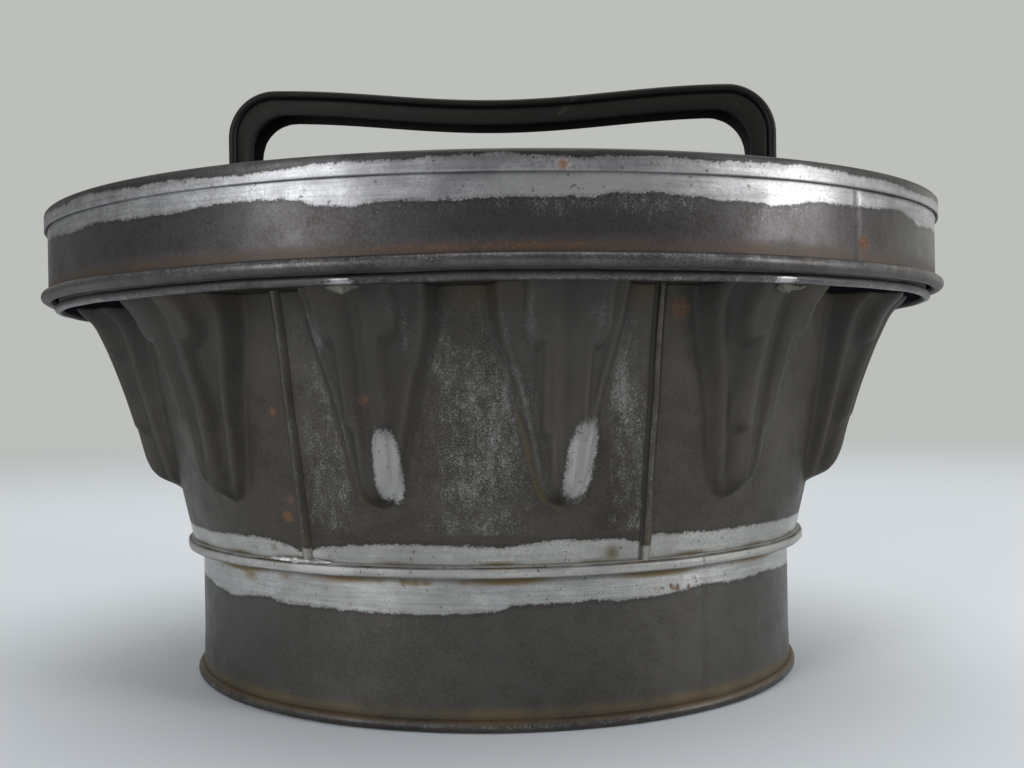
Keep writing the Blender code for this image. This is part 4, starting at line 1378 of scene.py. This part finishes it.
    def solder(self, name: str, seed: float, shift: float, half: float) -> bpy.types.Object:
        """Make one lump of solder under the rim.

        Args:
            name: Node that the lump replaces.
            seed: Changes its lumps.
            shift: How far back along the rim its thick part lies, in millimetres.
            half: Half its length, in millimetres.

        Returns:
            The lump.
        """
        low, high = (Vector(corner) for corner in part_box(name))
        middle = (low + high) / 2.0
        turn = math.atan2(middle.x / self.sizes.rim.a, -middle.y / self.sizes.rim.b)
        middle += Vector((-math.cos(turn), -math.sin(turn), 0.0)) * (shift * MM)
        outward = Vector((math.sin(turn) / self.sizes.rim.a, -math.cos(turn) / self.sizes.rim.b, 0.0)).normalized()
        onward = Vector((-outward.y, outward.x, 0.0))
        tips, around = 16, 28
        spin = np.arange(around) * TAU / around
        points = []
        for k in range(tips):
            tip = math.pi * (k + 0.5) / tips
            lump = (1.0 + 0.22 * np.sin(3.0 * spin + seed) * math.sin(tip) + 0.14 * np.sin(5.0 * spin + 2.0 * seed)
                    + 0.18 * math.sin(4.0 * tip + seed) * np.cos(2.0 * spin + seed))
            for angle, swell in zip(spin, lump):
                hang = 1.0 + 0.5 * max(0.0, math.cos(angle - 1.2 - seed)) * max(0.0, -math.cos(tip))
                side = math.sin(tip) * math.cos(angle) * swell * half * MM
                deep = math.sin(tip) * math.sin(angle) * swell * 0.85 * MM
                points.append(middle + onward * side + outward * (deep + 0.3 * MM)
                              + Vector((0.0, 0.0, (1.9 + math.cos(tip) * 1.3 * hang) * MM)))
        return new_piece(name + "_lump", np.array(points), capped_tube(tips, around, True), Body.MOULD,
                         [name])

    def dress(self, frame: dict, finishes: Finishes) -> None:
        """Make the body's pieces and give them their finishes.

        Args:
            frame: The loaded frame.
            finishes: The finishes.
        """
        few, many = self.front_flutes, self.end_flutes
        for name, start, end, flutes in (("front_panel", 3, 0, few), ("right_end_panel", 0, 1, many),
                                         ("back_panel", 1, 2, few), ("left_end_panel", 2, 3, many)):
            finishes.put(finishes.panel, self.panel(name, start, end, flutes))
        for which, name in enumerate(("seam_front_right", "seam_back_right", "seam_back_left", "seam_front_left")):
            finishes.put(finishes.panel, self.upright_seam(name, which))
        finishes.put(finishes.edge, self.rim_bead())
        # the ledge is painted near black as painted shade
        finishes.put(finishes.ledge, self.ledge())
        for name, seed, shift, half in (("rim_solder_front", 0.4, -1.4, 2.8), ("rim_solder_right", 1.7, 3.8, 4.2),
                                        ("rim_solder_back", 2.6, 0.0, 3.6), ("rim_solder_left", 3.9, 0.0, 3.4)):
            finishes.put(finishes.solder, self.solder(name, seed, shift, half))
        finishes.put(finishes.inside, self.collar())
        finishes.put_on_node(finishes.inside, frame, "crown_plate")


# The foot
@dataclass
class FootRing:
    """The foot band with its wired edge, and the folded crown seam above it."""

    sizes: MouldSizes = SIZES
    steps: int = 480
    lap: Lap = Lap(0.705, 0.00040, 80.0, 26.0, 0.25)
    tinned_line: Knots = ((-80.0, 29.0), (-60.9, 28.8), (-48.7, 27.3), (-39.3, 29.0), (-33.0, 28.0), (-22.7, 27.8),
                          (-14.0, 27.6), (-1.4, 27.8), (4.3, 28.7), (6.1, 30.0), (16.1, 29.9), (18.9, 30.4),
                          (24.6, 29.6), (33.0, 30.1), (40.8, 31.6), (46.7, 30.8), (59.3, 31.2), (70.0, 30.2),
                          (85.0, 29.6))
    dots: tuple[Spot, ...] = (
        Spot(0.0440, -0.0614, 0.0314, 0.0009), Spot(0.0457, -0.0606, 0.0318, 0.0007),
        Spot(0.0474, -0.0597, 0.0322, 0.0008), Spot(0.0490, -0.0589, 0.0315, 0.0013),
        Spot(0.0520, -0.0571, 0.0313, 0.0010), Spot(0.0536, -0.0561, 0.0334, 0.0008),
        Spot(-0.0300, -0.0668, 0.0290, 0.0008, 0.8), Spot(0.0500, -0.0583, 0.0345, 0.0006))
    ochre: tuple = ((-0.0165, 0.0353, 0.0018, 1.0), (-0.0138, 0.0351, 0.0020, 1.0), (-0.0110, 0.0352, 0.0016, 1.0),
                    (-0.0020, 0.0354, 0.0016, 1.0), (0.0012, 0.0355, 0.0014, 1.0), (-0.0595, 0.0340, 0.0040, 0.5),
                    (-0.0480, 0.0350, 0.0030, 0.5), (-0.0350, 0.0350, 0.0040, 0.4), (0.0110, 0.0356, 0.0030, 0.7),
                    (-0.0225, 0.0354, 0.0020, 0.7))

    def flat_spots(self, points: Array) -> Array:
        """Strength of the ochre stains, less than half as high as wide, at the front of the band's upper edge."""
        squeeze, oval = 2.2, self.sizes.foot
        spots = [Spot(x, -oval.b * math.sqrt(1.0 - (x / oval.a) ** 2), squeeze * high, wide, strength)
                 for x, high, wide, strength in self.ochre]
        return spots_on(points * (1.0, 1.0, squeeze), spots)

    def band(self) -> bpy.types.Object:
        """Make the foot band."""
        s = self.sizes
        low = 2.0 * s.foot_bead_seen - 0.3 * MM
        path = upright_sheet(s.sheet, low, s.seam_low - s.gap, 44)

        def spread(turn: Array, height: Array) -> Array:
            """Lapped end and unevenness."""
            wave = ripple(turn, ((0.12, 3.0, 0.8), (0.08, 8.0, 2.2), (0.05, 19.0, 0.6)))
            return self.lap.step(turn) + (wave - 0.2) * MM * smooth(0.004, 0.014, height)

        def paint(turn: Array, points: Array) -> dict[Mark, Array]:
            """Tinned band below the seam, stains in the crease and at the bead."""
            z = points[..., 2]
            top = smooth(0.0342, 0.0354, z)
            rust = 0.46 * smooth(0.0062, 0.0034, z) * (0.7 + 0.3 * np.sin(turn * 11.0))
            stain = 0.95 * top * (0.10 + 0.90 * np.sin(turn * 7.0 + 1.0) ** 2)
            stain = np.maximum.reduce([stain, self.flat_spots(points), 0.42 * smooth(0.0080, 0.0040, z)])
            return {Mark.BRIGHT: z / MM - around_line(self.tinned_line, turn), Mark.WEAR: np.full_like(z, 0.02),
                    Mark.RUST: np.maximum(rust, spots_on(points, self.dots)), Mark.STAIN: stain,
                    Mark.DARK: 0.6 * smooth(0.0046, 0.0032, z) + 0.55 * smooth(0.0352, 0.0358, z)}

        return round_ring("foot_band_rolled", s.foot, path_section(path, spread), self.steps, Body.MOULD,
                          "foot_band", paint)

    def bead(self) -> bpy.types.Object:
        """Make the wired edge that the mould stands on."""
        s = self.sizes
        radius = s.foot_bead_seen

        def wander(turn: Array) -> tuple[Array, Array]:
            """Small dents of the edge, none of them up or down."""
            return ripple(turn, ((0.10, 4.0, 0.4), (0.06, 15.0, 1.0))) * MM - 0.16 * MM, np.zeros_like(turn)

        def paint(turn: Array, points: Array) -> dict[Mark, Array]:
            """Wear along the crest, rust above it."""
            z = points[..., 2]
            crest = hill(z, 1.7 * MM, 0.7 * MM) * (0.65 + 0.35 * np.sin(turn * 5.0 + 0.8))
            rust = 0.55 * smooth(2.0 * MM, 3.0 * MM, z) * (0.75 + 0.25 * np.sin(turn * 13.0))
            return {Mark.WEAR: 0.10 + 0.75 * crest, Mark.RUST: rust, Mark.STAIN: 0.6 * smooth(1.7 * MM, 2.6 * MM, z),
                    Mark.DARK: 0.25 * smooth(1.2 * MM, 0.3 * MM, z)}

        section = circle_section(radius, s.foot_bead_proud - radius, radius, 24, wander)
        return round_ring("foot_bead_rolled", s.foot, section, 360, Body.MOULD, "foot_bead", paint)

    def seam(self) -> bpy.types.Object:
        """Make the folded seam under the body."""
        s = self.sizes
        out, inn = s.seam_proud / MM - 0.65, -s.seam_inset / MM
        low, high = s.seam_low / MM, s.seam_high / MM
        outline = [(out - 3.0, low), (out - 1.2, low), (out - 0.45, low + 0.08), (out - 0.14, low + 0.32),
                   (out, low + 0.75), (out + 0.03, low + 1.30), (out, low + 1.80), (out - 0.12, low + 2.20),
                   (out - 0.42, low + 2.42), (out - 0.72, low + 2.50), (out - 0.80, low + 2.62),
                   (out - 0.74, high + 0.02), (out - 1.05, high + 0.20), (out - 1.70, high + 0.24),
                   (inn, high + 0.24), (inn, low)]
        path = [(a * MM, b * MM) for a, b in outline]

        def spread(turn: Array, height: Array) -> Array:
            """Small dents along the seam's edge."""
            return (ripple(turn, ((0.10, 5.0, 0.2), (0.08, 12.0, 1.4), (0.05, 33.0, 0.5))) - 0.24) * MM

        def paint(turn: Array, points: Array) -> dict[Mark, Array]:
            """Bright solder with stains in its creases."""
            z = points[..., 2] / MM
            fold = hill(z, high - 0.24, 0.21)
            uneven = 0.62 + 0.38 * np.sin(turn * 23.0 + 1.0) * np.sin(turn * 61.0)
            crease = fold + smooth(low + 0.55, low + 0.1, z)
            stain = crease * (0.30 + 0.50 * np.sin(turn * 9.0 + 0.5) ** 2)
            signed = turn_from(turn)
            rust = 0.85 * hill(signed, 0.42, 0.10) * crease
            rust = np.maximum(rust, 0.62 * crease * (np.sin(turn * 17.0 + 2.0) * np.sin(turn * 41.0) > 0.1))
            shine = hill(signed, -0.42, 0.13, 4)
            return {Mark.BRIGHT: np.full_like(z, 3.0), Mark.STAIN: np.clip(stain, 0.0, 1.0), Mark.RUST: rust,
                    Mark.WEAR: shine, Mark.DARK: uneven * (1.15 * fold + 0.90 * smooth(low + 0.50, low + 0.10, z))}

        return round_ring("crown_seam_folded", s.foot, path_section(path, spread), self.steps, Body.MOULD,
                          "crown_seam", paint, 35.0)

    def solder_run(self) -> bpy.types.Object:
        """Make the lumpy run of solder along the crown seam, at the foot of the front left seam."""
        s = self.sizes
        steps, around = 90, 12
        turn = np.linspace(-0.600, -0.385, steps)[:, None]
        spin = (np.arange(around) * TAU / around)[None, :]
        share = (turn - turn[0]) / (turn[-1] - turn[0])
        swell = (0.56 + 0.34 * hill(turn, -0.500, 0.010) + 0.22 * hill(turn, -0.585, 0.014)
                 + 0.20 * hill(turn, -0.440, 0.030) + ripple(turn, ((0.07, 170.0, 0.3), (0.06, 271.0, 1.1))))
        radius = (swell * np.sqrt(np.clip(4.0 * share * (1.0 - share), 0.02, 1.0))
                  * (1.0 + 0.15 * np.sin(3.0 * spin + 40.0 * turn)))
        out = s.seam_proud - 1.55 * MM + radius * np.cos(spin) * MM
        high = s.seam_high + 0.30 * MM + 0.85 * radius * np.sin(spin) * MM
        points = s.foot.place(np.broadcast_to(turn, out.shape), high, out)
        return new_piece("crown_seam_solder_run", points, capped_tube(steps, around, True), Body.MOULD)

    def dress(self, finishes: Finishes) -> None:
        """Make the foot's pieces and give them their finishes.

        Args:
            finishes: The finishes.
        """
        finishes.put(finishes.fresh_solder, self.solder_run())
        finishes.put(finishes.foot, self.band())
        finishes.put(finishes.foot_edge, self.bead())
        finishes.put(finishes.bright, self.seam())


# The lid
@dataclass
class LiftOffLid:
    """The lid: its band, wired edge and flanged top."""

    sizes: MouldSizes = SIZES
    steps: int = 600
    lap: Lap = Lap(0.768, 0.00032, 110.0, 30.0)
    tinned_line: Knots = ((-80.0, 121.4), (-59.5, 121.7), (-49.3, 120.4), (-44.0, 121.3), (-35.3, 120.5),
                          (-29.0, 120.6), (-25.1, 121.3), (-18.9, 121.6), (-15.7, 121.0), (-11.9, 119.1),
                          (-9.3, 118.9), (-6.3, 119.7), (-1.2, 119.3), (4.6, 119.9), (11.7, 119.8), (15.9, 120.9),
                          (18.6, 120.9), (23.6, 120.3), (29.6, 119.6), (32.7, 119.2), (37.5, 120.9), (46.2, 120.8),
                          (53.2, 121.8), (60.0, 119.3), (66.2, 120.0), (85.0, 121.0))
    band_rust: Spot = Spot(0.0907, -0.0734, 0.1129, 0.0024, 1.0)
    top_rust: tuple[Spot, ...] = (Spot(0.0228, -0.1034, 0.1262, 0.0017, 1.0),
                                  Spot(0.0500, 0.0300, 0.1310, 0.0060, 0.7),
                                  Spot(-0.0700, -0.0500, 0.1300, 0.0040, 0.8))

    def wave(self, turn: Array) -> Array:
        """Gentle hand-worked unevenness of the band, in metres."""
        return ripple(turn, ((0.12, 3.0, 0.5), (0.10, 7.0, 1.3), (0.06, 16.0, 0.4), (0.03, 37.0, 1.1))) * MM

    def band(self) -> bpy.types.Object:
        """Make the lid's band."""
        s = self.sizes
        low = s.lid_bead_z + s.lid_bead_seen - 0.3 * MM
        high = s.lid_top - s.lid_sheet - s.gap
        path = upright_sheet(s.lid_sheet, low, high, 36)

        def spread(turn: Array, height: Array) -> Array:
            """Lapped end and unevenness, held in under the flange."""
            free = smooth(s.lid_top - s.lid_flange + 0.5 * MM, s.lid_top - s.lid_flange - 1.5 * MM, height)
            return (self.lap.step(turn) + self.wave(turn) - 0.1 * MM) * free

        def paint(turn: Array, points: Array) -> dict[Mark, Array]:
            """Bright tin above a wandering line, rust above the bead, and painted shade beside the lap."""
            z = points[..., 2]
            signed = turn_from(turn)
            rust = 0.52 * hill(z, 0.1100, 0.0015) * (0.60 + 0.40 * np.sin(turn * 5.0 + 1.3))
            flecks = 0.85 * hill(signed, 0.20, 0.26) * smooth(0.113, 0.119, z)
            flecks = flecks + 0.5 * hill(signed, 0.62, 0.12) * smooth(0.114, 0.120, z)
            return {Mark.BRIGHT: z / MM - around_line(self.tinned_line, turn), Mark.WEAR: 0.08 + flecks,
                    Mark.RUST: np.maximum(rust, spots_on(points, (self.band_rust,))),
                    Mark.STAIN: 0.56 * smooth(0.1132, 0.1096, z), Mark.DARK: self.lap.shade(turn)}

        return round_ring("lid_band_rolled", s.lid, path_section(path, spread), self.steps, Body.LID,
                          "lid_band", paint)

    def bead(self) -> bpy.types.Object:
        """Make the lid's wired edge."""
        s = self.sizes
        radius, middle = s.lid_bead_seen, s.lid_bead_z + 0.25 * MM

        def wander(turn: Array) -> tuple[Array, Array]:
            """Small dents of the edge."""
            return (ripple(turn, ((0.07, 6.0, 0.4), (0.05, 17.0, 1.0), (0.03, 41.0, 0.2))) * MM - 0.15 * MM,
                    ripple(turn, ((0.07, 5.0, 1.0), (0.05, 14.0, 0.4))) * MM)

        def paint(turn: Array, points: Array) -> dict[Mark, Array]:
            """Rubbed crest, also painted lighter as a painted highlight on the upper part; painted shade on the lower
            part; rust above.
            """
            z = points[..., 2]
            crest = hill(z, middle + 0.8 * MM, 0.6 * MM)
            rust = 0.45 * smooth(middle + 1.0 * MM, middle + 1.6 * MM, z) * (0.6 + 0.4 * np.sin(turn * 4.0))
            return {Mark.WEAR: 0.15 + 0.60 * crest, Mark.RUST: rust,
                    Mark.DARK: 0.45 * smooth(middle - 0.3 * MM, middle - 1.2 * MM, z)}

        section = circle_section(radius, s.lid_bead_proud - radius, middle, 24, wander)
        return round_ring("lid_bead_rolled", s.lid, section, 420, Body.LID, "lid_bead", paint)

    def top_line(self) -> list[tuple[float, float]]:
        """Outer face of the lid's top, as out and up, from its turned-down edge to its raised field."""
        s = self.sizes
        outer = s.lid_sheet + s.gap
        low, high = s.lid_top - s.lid_flange, s.lid_top
        bend = 1.3 * MM
        line = [(outer - 0.10 * MM, low), (outer, low + 0.12 * MM)]
        line += [(outer, low + 0.45 * MM + (high - bend - low - 0.45 * MM) * k / 8.0) for k in range(9)]
        for step in range(1, 9):
            angle = math.pi / 2.0 * step / 8.0
            line.append((outer - bend + bend * math.cos(angle), high - bend + bend * math.sin(angle)))
        edge, rise = -s.field_inset, s.field_rise
        return line + [(-4.0 * MM, high - 0.15 * MM), (edge + 1.0 * MM, high - 0.25 * MM), (edge, high - 0.05 * MM),
                       (edge - 0.5 * MM, high + 0.45 * rise), (edge - 1.2 * MM, high + 0.92 * rise),
                       (edge - 2.2 * MM, high + rise)]

    def top(self) -> bpy.types.Object:
        """Make the lid's flanged top."""
        s = self.sizes
        low, high = s.lid_top - s.lid_flange, s.lid_top
        line = self.top_line()
        turn = np.arange(self.steps) * TAU / self.steps
        rings, outs = [], []
        for out, z in line:
            lift = (self.wave(turn) * 0.6 - 0.1 * MM) * (z < high - 0.6 * MM)
            rings.append(s.lid.place(turn, np.full(self.steps, z), out + lift))
            outs.append(out)
        inner = s.lid.grown(line[-1][0])
        for share in np.linspace(0.94, 0.04, 22):
            flat = Oval(inner.a * share, inner.b * share)
            z = high + s.field_rise - 0.35 * MM * (1.0 - (2.0 * share - 1.0) ** 2)
            rings.append(flat.place(turn, np.full(self.steps, z)))
            outs.append(-0.05)
        points = np.array(rings)
        faces = grid_faces(len(rings), self.steps, False, True)
        faces.append(tuple(range((len(rings) - 1) * self.steps, len(rings) * self.steps)))
        z = points[..., 2]
        spread = np.broadcast_to(turn[None, :], z.shape)
        far = np.array(outs)[:, None] + 0.0 * z
        dark_from = 127.9 + ripple(spread, ((0.35, 4.0, 0.2), (0.35, 9.0, 1.9), (0.25, 23.0, 0.4)))
        side = smooth(-0.004, 0.0, far)
        bright = (dark_from - z / MM) * side - 6.0 * (1.0 - side)
        rim = smooth(-0.030, -0.006, far)
        marks = {Mark.BRIGHT: bright, Mark.WEAR: 0.18 + 0.25 * rim * (1.0 - side) + 0.10 * np.sin(spread * 6.0) ** 2,
                 Mark.RUST: spots_on(points, self.top_rust),
                 Mark.STAIN: 0.20 * smooth(high - 0.3 * MM, high, z) * side,
                 # darker near the top edge, and painted shade along the flange's lower edge
                 Mark.DARK: (0.30 * smooth(high - 1.8 * MM, high - 0.5 * MM, z) * side
                             + 0.8 * smooth(low + 0.5 * MM, low + 0.1 * MM, z))}
        made = new_piece("lid_top_raised", points, faces, Body.LID, ["lid_top"], marks, 60.0)
        return thicken(made, s.lid_sheet)

    def dress(self, finishes: Finishes) -> None:
        """Make the lid's pieces and give them their finishes.

        Args:
            finishes: The finishes.
        """
        finishes.put(finishes.lid, self.band(), self.top())
        finishes.put(finishes.edge, self.bead())


# The handle
@dataclass
class StrapHandle:
    """The folded strap handle, hollow underneath, with rolled outer edges."""

    sizes: MouldSizes = SIZES
    half_span: float = 0.0825
    offset: float = 0.0033
    shoulder: float = 0.0388
    tilt: float = 0.0026
    dip: float = 0.0037
    corner: float = 0.0145
    width: float = 0.0124
    depth: float = 0.0070
    sheet: float = 0.0008
    bead: float = 0.0013
    plate_sheet: float = 0.0010
    deeper: float = 0.0005
    inner_corner: float = 0.0113

    def path(self, tilt: float) -> Array:
        """Outer line of the handle, with its left end this much higher, as X and Z above the lid's field."""
        low = self.plate_sheet + 2.0 * self.sizes.gap
        bend = self.shoulder - self.corner
        flat = self.half_span - self.corner
        line = [(-self.half_span, low + (bend - low) * k / 12.0) for k in range(12)]
        for step in range(21):
            angle = math.pi - math.pi / 2.0 * step / 20.0
            line.append((-flat + self.corner * math.cos(angle), bend + self.corner * math.sin(angle)))
        for step in range(1, 60):
            x = -flat + 2.0 * flat * step / 60.0
            line.append((x, self.shoulder - self.dip * 0.5 * (1.0 + math.cos(math.pi * x / flat))))
        for step in range(21):
            angle = math.pi / 2.0 - math.pi / 2.0 * step / 20.0
            line.append((flat + self.corner * math.cos(angle), bend + self.corner * math.sin(angle)))
        line += [(self.half_span, bend - (bend - low) * k / 12.0) for k in range(1, 13)]
        lean = tilt / (2.0 * self.half_span * (bend - low))
        return np.array([(x, z + lean * (self.half_span - x) * min(z - low, bend - low)) for x, z in line])

    def deepening(self) -> Array:
        """How much deeper the strap is at each point of its line, because its inner corners are rounder."""
        line = self.path(0.0)
        deep = self.depth + self.deeper
        shift = deep + self.inner_corner - self.corner
        leg = self.shoulder - self.corner - line[:, 1]
        beyond = np.maximum(leg, self.half_span - self.corner - np.abs(line[:, 0]))
        straight = self.inner_corner - np.sqrt(self.inner_corner ** 2 - np.clip(shift - beyond, 0.0, shift) ** 2)
        angle = np.arctan2(np.clip(-leg, 0.0, None),
                           np.clip(np.abs(line[:, 0]) - self.half_span + self.corner, 1e-6, None))
        along = shift * (np.cos(angle) + np.sin(angle))
        reach = -along + np.sqrt(along ** 2 - 2.0 * shift ** 2 + self.inner_corner ** 2)
        return self.deeper + np.where(beyond > 0.0, straight, self.corner - reach - deep)

    def section(self) -> list[tuple[float, float]]:
        """Closed outline of the strap: depth below the outer line and distance across."""
        half, bead, sheet = self.width / 2.0, self.bead, self.sheet
        right = [(0.35 * bead, 0.0), (0.30 * bead, half - 2.9 * bead), (0.60 * bead, half - 2.25 * bead)]
        for step in range(13):
            angle = math.radians(165.0 - 20.0 * step)
            right.append((bead - bead * math.sin(angle), half - bead + bead * math.cos(angle)))
        side = half - 0.50 * bead
        right += [(2.15 * bead, side - 0.10 * bead), (2.45 * bead, side + 0.12 * bead), (2.75 * bead, side),
                  (0.78 * self.depth, side - 0.1 * MM), (self.depth - 0.45 * MM, side + 0.05 * MM),
                  (self.depth - 0.12 * MM, side - 0.05 * MM), (self.depth, side - 0.3 * MM),
                  (self.depth, side - sheet + 0.1 * MM), (self.depth - 0.15 * MM, side - sheet),
                  (2.2 * bead, side - sheet), (1.3 * bead, side - sheet - 0.5 * MM),
                  (0.30 * bead + sheet, half - 2.9 * bead), (0.35 * bead + sheet, 0.0)]
        left = [(d, -s) for d, s in reversed(right) if s > 0.0]
        return right + left

    def strap(self) -> bpy.types.Object:
        """Make the strap."""
        line = self.path(self.tilt)
        ahead = np.gradient(line, axis=0)
        ahead /= np.linalg.norm(ahead, axis=1, keepdims=True)
        inward = np.stack((ahead[:, 1], -ahead[:, 0]), axis=-1)
        section = np.array(self.section())
        base = self.sizes.lid_top + self.sizes.field_rise
        deep, across = section[:, 0], section[:, 1]
        extra = self.deepening()
        share = np.clip((deep - 2.45 * self.bead) / (self.depth - 2.45 * self.bead), 0.0, 1.0)
        deeper = deep[None, :] + extra[:, None] * share[None, :]
        x = self.offset + line[:, 0][:, None] + inward[:, 0][:, None] * deeper
        z = base + line[:, 1][:, None] + inward[:, 1][:, None] * deeper
        y = np.broadcast_to(across[None, :], x.shape)
        points = np.stack((x, y, z), axis=-1)
        deep_all = np.broadcast_to(deep[None, :], x.shape)
        away = np.abs(y)
        flank = smooth(2.1 * self.bead, 2.7 * self.bead, deep_all) * smooth(self.width * 0.40, self.width * 0.45, away)
        crest = smooth(self.bead * 1.4, self.bead * 0.2, deep_all)
        wear = 0.85 * flank * smooth(self.depth * 1.02, 0.60 * self.depth, deep_all) + 0.50 * crest
        inside = (deep_all > self.sheet * 1.6) & (away < self.width / 2.0 - 0.50 * self.bead - 0.6 * self.sheet)
        wear = np.where(inside, 0.0, wear)
        return new_piece("handle_folded", points, capped_tube(*x.shape), Body.LID, ["handle"],
                         {Mark.WEAR: np.clip(wear, 0.0, 1.0)}, 45.0)

    def dress(self, frame: dict, finishes: Finishes) -> None:
        """Make the strap and finish its feet and rivets.

        Args:
            frame: The loaded frame.
            finishes: The finishes.
        """
        finishes.put(finishes.strap, self.strap())
        feet = [n for n in frame["nodes"] if n.startswith("handle_foot") or n.startswith("rivet")]
        finishes.put_on_node(finishes.strap, frame, *feet)


# The studio
@dataclass
class Studio:
    """A pale floor, soft lamps and the camera."""

    eye: Color = (0.0233, -0.3054, 0.08245)
    yaw: float = -0.0566
    pitch: float = 0.002
    roll: float = 0.0154
    focal: float = 35.156

    def camera(self) -> None:
        """Place the camera where the photograph was taken from."""
        data = bpy.data.cameras.new("camera")
        data.lens = self.focal
        data.sensor_width = 36.0
        data.clip_start = 0.01
        made = bpy.data.objects.new("camera", data)
        bpy.context.scene.collection.objects.link(made)
        ahead = Vector((math.sin(self.yaw) * math.cos(self.pitch), math.cos(self.yaw) * math.cos(self.pitch),
                        -math.sin(self.pitch)))
        right = Vector((math.cos(self.yaw), -math.sin(self.yaw), 0.0))
        up = right.cross(ahead)
        side = math.cos(self.roll) * right - math.sin(self.roll) * up
        top = math.sin(self.roll) * right + math.cos(self.roll) * up
        turn = Matrix((side, top, -ahead)).transposed().to_4x4()
        made.matrix_world = Matrix.Translation(self.eye) @ turn
        bpy.context.scene.camera = made

    def lamp(self, name: str, place: Color, aim: Color, size: tuple[float, float], power: float, color: Color) -> None:
        """Hang one soft lamp.

        Args:
            name: Its name.
            place: Where it is.
            aim: What it points at.
            size: Its width and height.
            power: Its power in watts.
            color: Its colour.
        """
        data = bpy.data.lights.new(name, "AREA")
        data.shape = "RECTANGLE"
        data.size, data.size_y = size
        data.energy = power
        data.color = color
        made = bpy.data.objects.new(name, data)
        made.location = place
        made.rotation_euler = (Vector(aim) - Vector(place)).to_track_quat("-Z", "Y").to_euler()
        bpy.context.scene.collection.objects.link(made)

    def world(self) -> None:
        """Light the object all round: pale behind it, a little darker in front."""
        made = bpy.data.worlds.new("studio")
        made.use_nodes = True
        graph = Graph(made.node_tree)
        back = made.node_tree.nodes["Background"]
        way = graph.node("ShaderNodeTexCoord").outputs["Generated"]
        split = graph.node("ShaderNodeSeparateXYZ")
        graph.feed(split.inputs[0], way)
        share = graph.ease(split.outputs["Y"], -0.80, 0.35)
        low = graph.tint(graph.ease(split.outputs["Z"], -0.20, 0.10), (0.40, 0.40, 0.39), (0.20, 0.20, 0.205))
        color = graph.tint(share, low, (0.505, 0.520, 0.490))
        dim = graph.times(graph.ease(split.outputs["X"], -0.50, -0.80), graph.ease(split.outputs["Y"], -0.25, 0.25))
        color = graph.layer(dim, 0.75, color, (0.13, 0.13, 0.135))
        glow = graph.times(graph.ease(split.outputs["X"], 0.50, 0.80), graph.ease(split.outputs["Y"], -0.35, 0.10))
        color = graph.layer(glow, 0.8, color, (0.95, 0.95, 0.90))
        graph.feed(back.inputs["Color"], color)
        back.inputs["Strength"].default_value = 1.0
        bpy.context.scene.world = made

    def floor(self) -> None:
        """Lay a pale floor that fades into the background."""
        data = bpy.data.meshes.new("floor")
        around = 96
        rings = (0.2, 0.4, 0.7, 1.1, 1.6)
        points = [(ring * math.cos(TAU * k / around), ring * math.sin(TAU * k / around), 0.0)
                  for ring in rings for k in range(around)]
        faces = grid_faces(len(rings), around, False, True)
        faces.append(tuple(range(around)))
        data.from_pydata(points, [], faces)
        made = bpy.data.objects.new("floor", data)
        bpy.context.scene.collection.objects.link(made)
        paint = bpy.data.materials.new("pale_floor")
        paint.use_nodes = True
        graph = Graph(paint.node_tree)
        shader = paint.node_tree.nodes["Principled BSDF"]
        shader.inputs["Base Color"].default_value = (0.78, 0.82, 0.88, 1.0)
        shader.inputs["Roughness"].default_value = 0.8
        place = graph.node("ShaderNodeTexCoord").outputs["Object"]
        far = graph.node("ShaderNodeVectorMath", operation="LENGTH")
        graph.feed(far.inputs[0], place)
        fade = graph.ease(far.outputs["Value"], 0.45, 1.5)
        clear = graph.node("ShaderNodeBsdfTransparent")
        mix = graph.node("ShaderNodeMixShader")
        graph.feed(mix.inputs[0], fade)
        graph.feed(mix.inputs[1], shader.outputs[0])
        graph.feed(mix.inputs[2], clear.outputs[0])
        graph.feed(paint.node_tree.nodes["Material Output"].inputs["Surface"], mix.outputs[0])
        data.materials.append(paint)

    def build(self) -> None:
        """Set up the whole studio."""
        scene = bpy.context.scene
        scene.view_settings.view_transform = "Standard"
        self.camera()
        self.world()
        self.floor()
        self.lamp("window_left", (-0.82, -1.05, 0.40), (0.0, 0.0, 0.09), (0.42, 0.90), 7.6, (0.97, 0.99, 1.0))
        self.lamp("window_right", (1.22, -0.52, 0.42), (0.0, 0.0, 0.09), (0.42, 0.80), 7.2, (1.0, 1.0, 0.99))
        self.lamp("overhead", (0.1, 0.1, 1.3), (0.0, 0.0, 0.05), (1.2, 1.2), 7.0, (1.0, 1.0, 0.99))


def main() -> None:
    """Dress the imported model, piece by piece."""
    logging.basicConfig(level=logging.INFO, format="%(name)s: %(message)s")
    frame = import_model()
    Studio().build()
    finishes = Finishes()
    FlutedBody().dress(frame, finishes)
    FootRing().dress(finishes)
    LiftOffLid().dress(finishes)
    StrapHandle().dress(frame, finishes)
    bpy.context.view_layer.update()


if __name__ == "__main__":
    main()
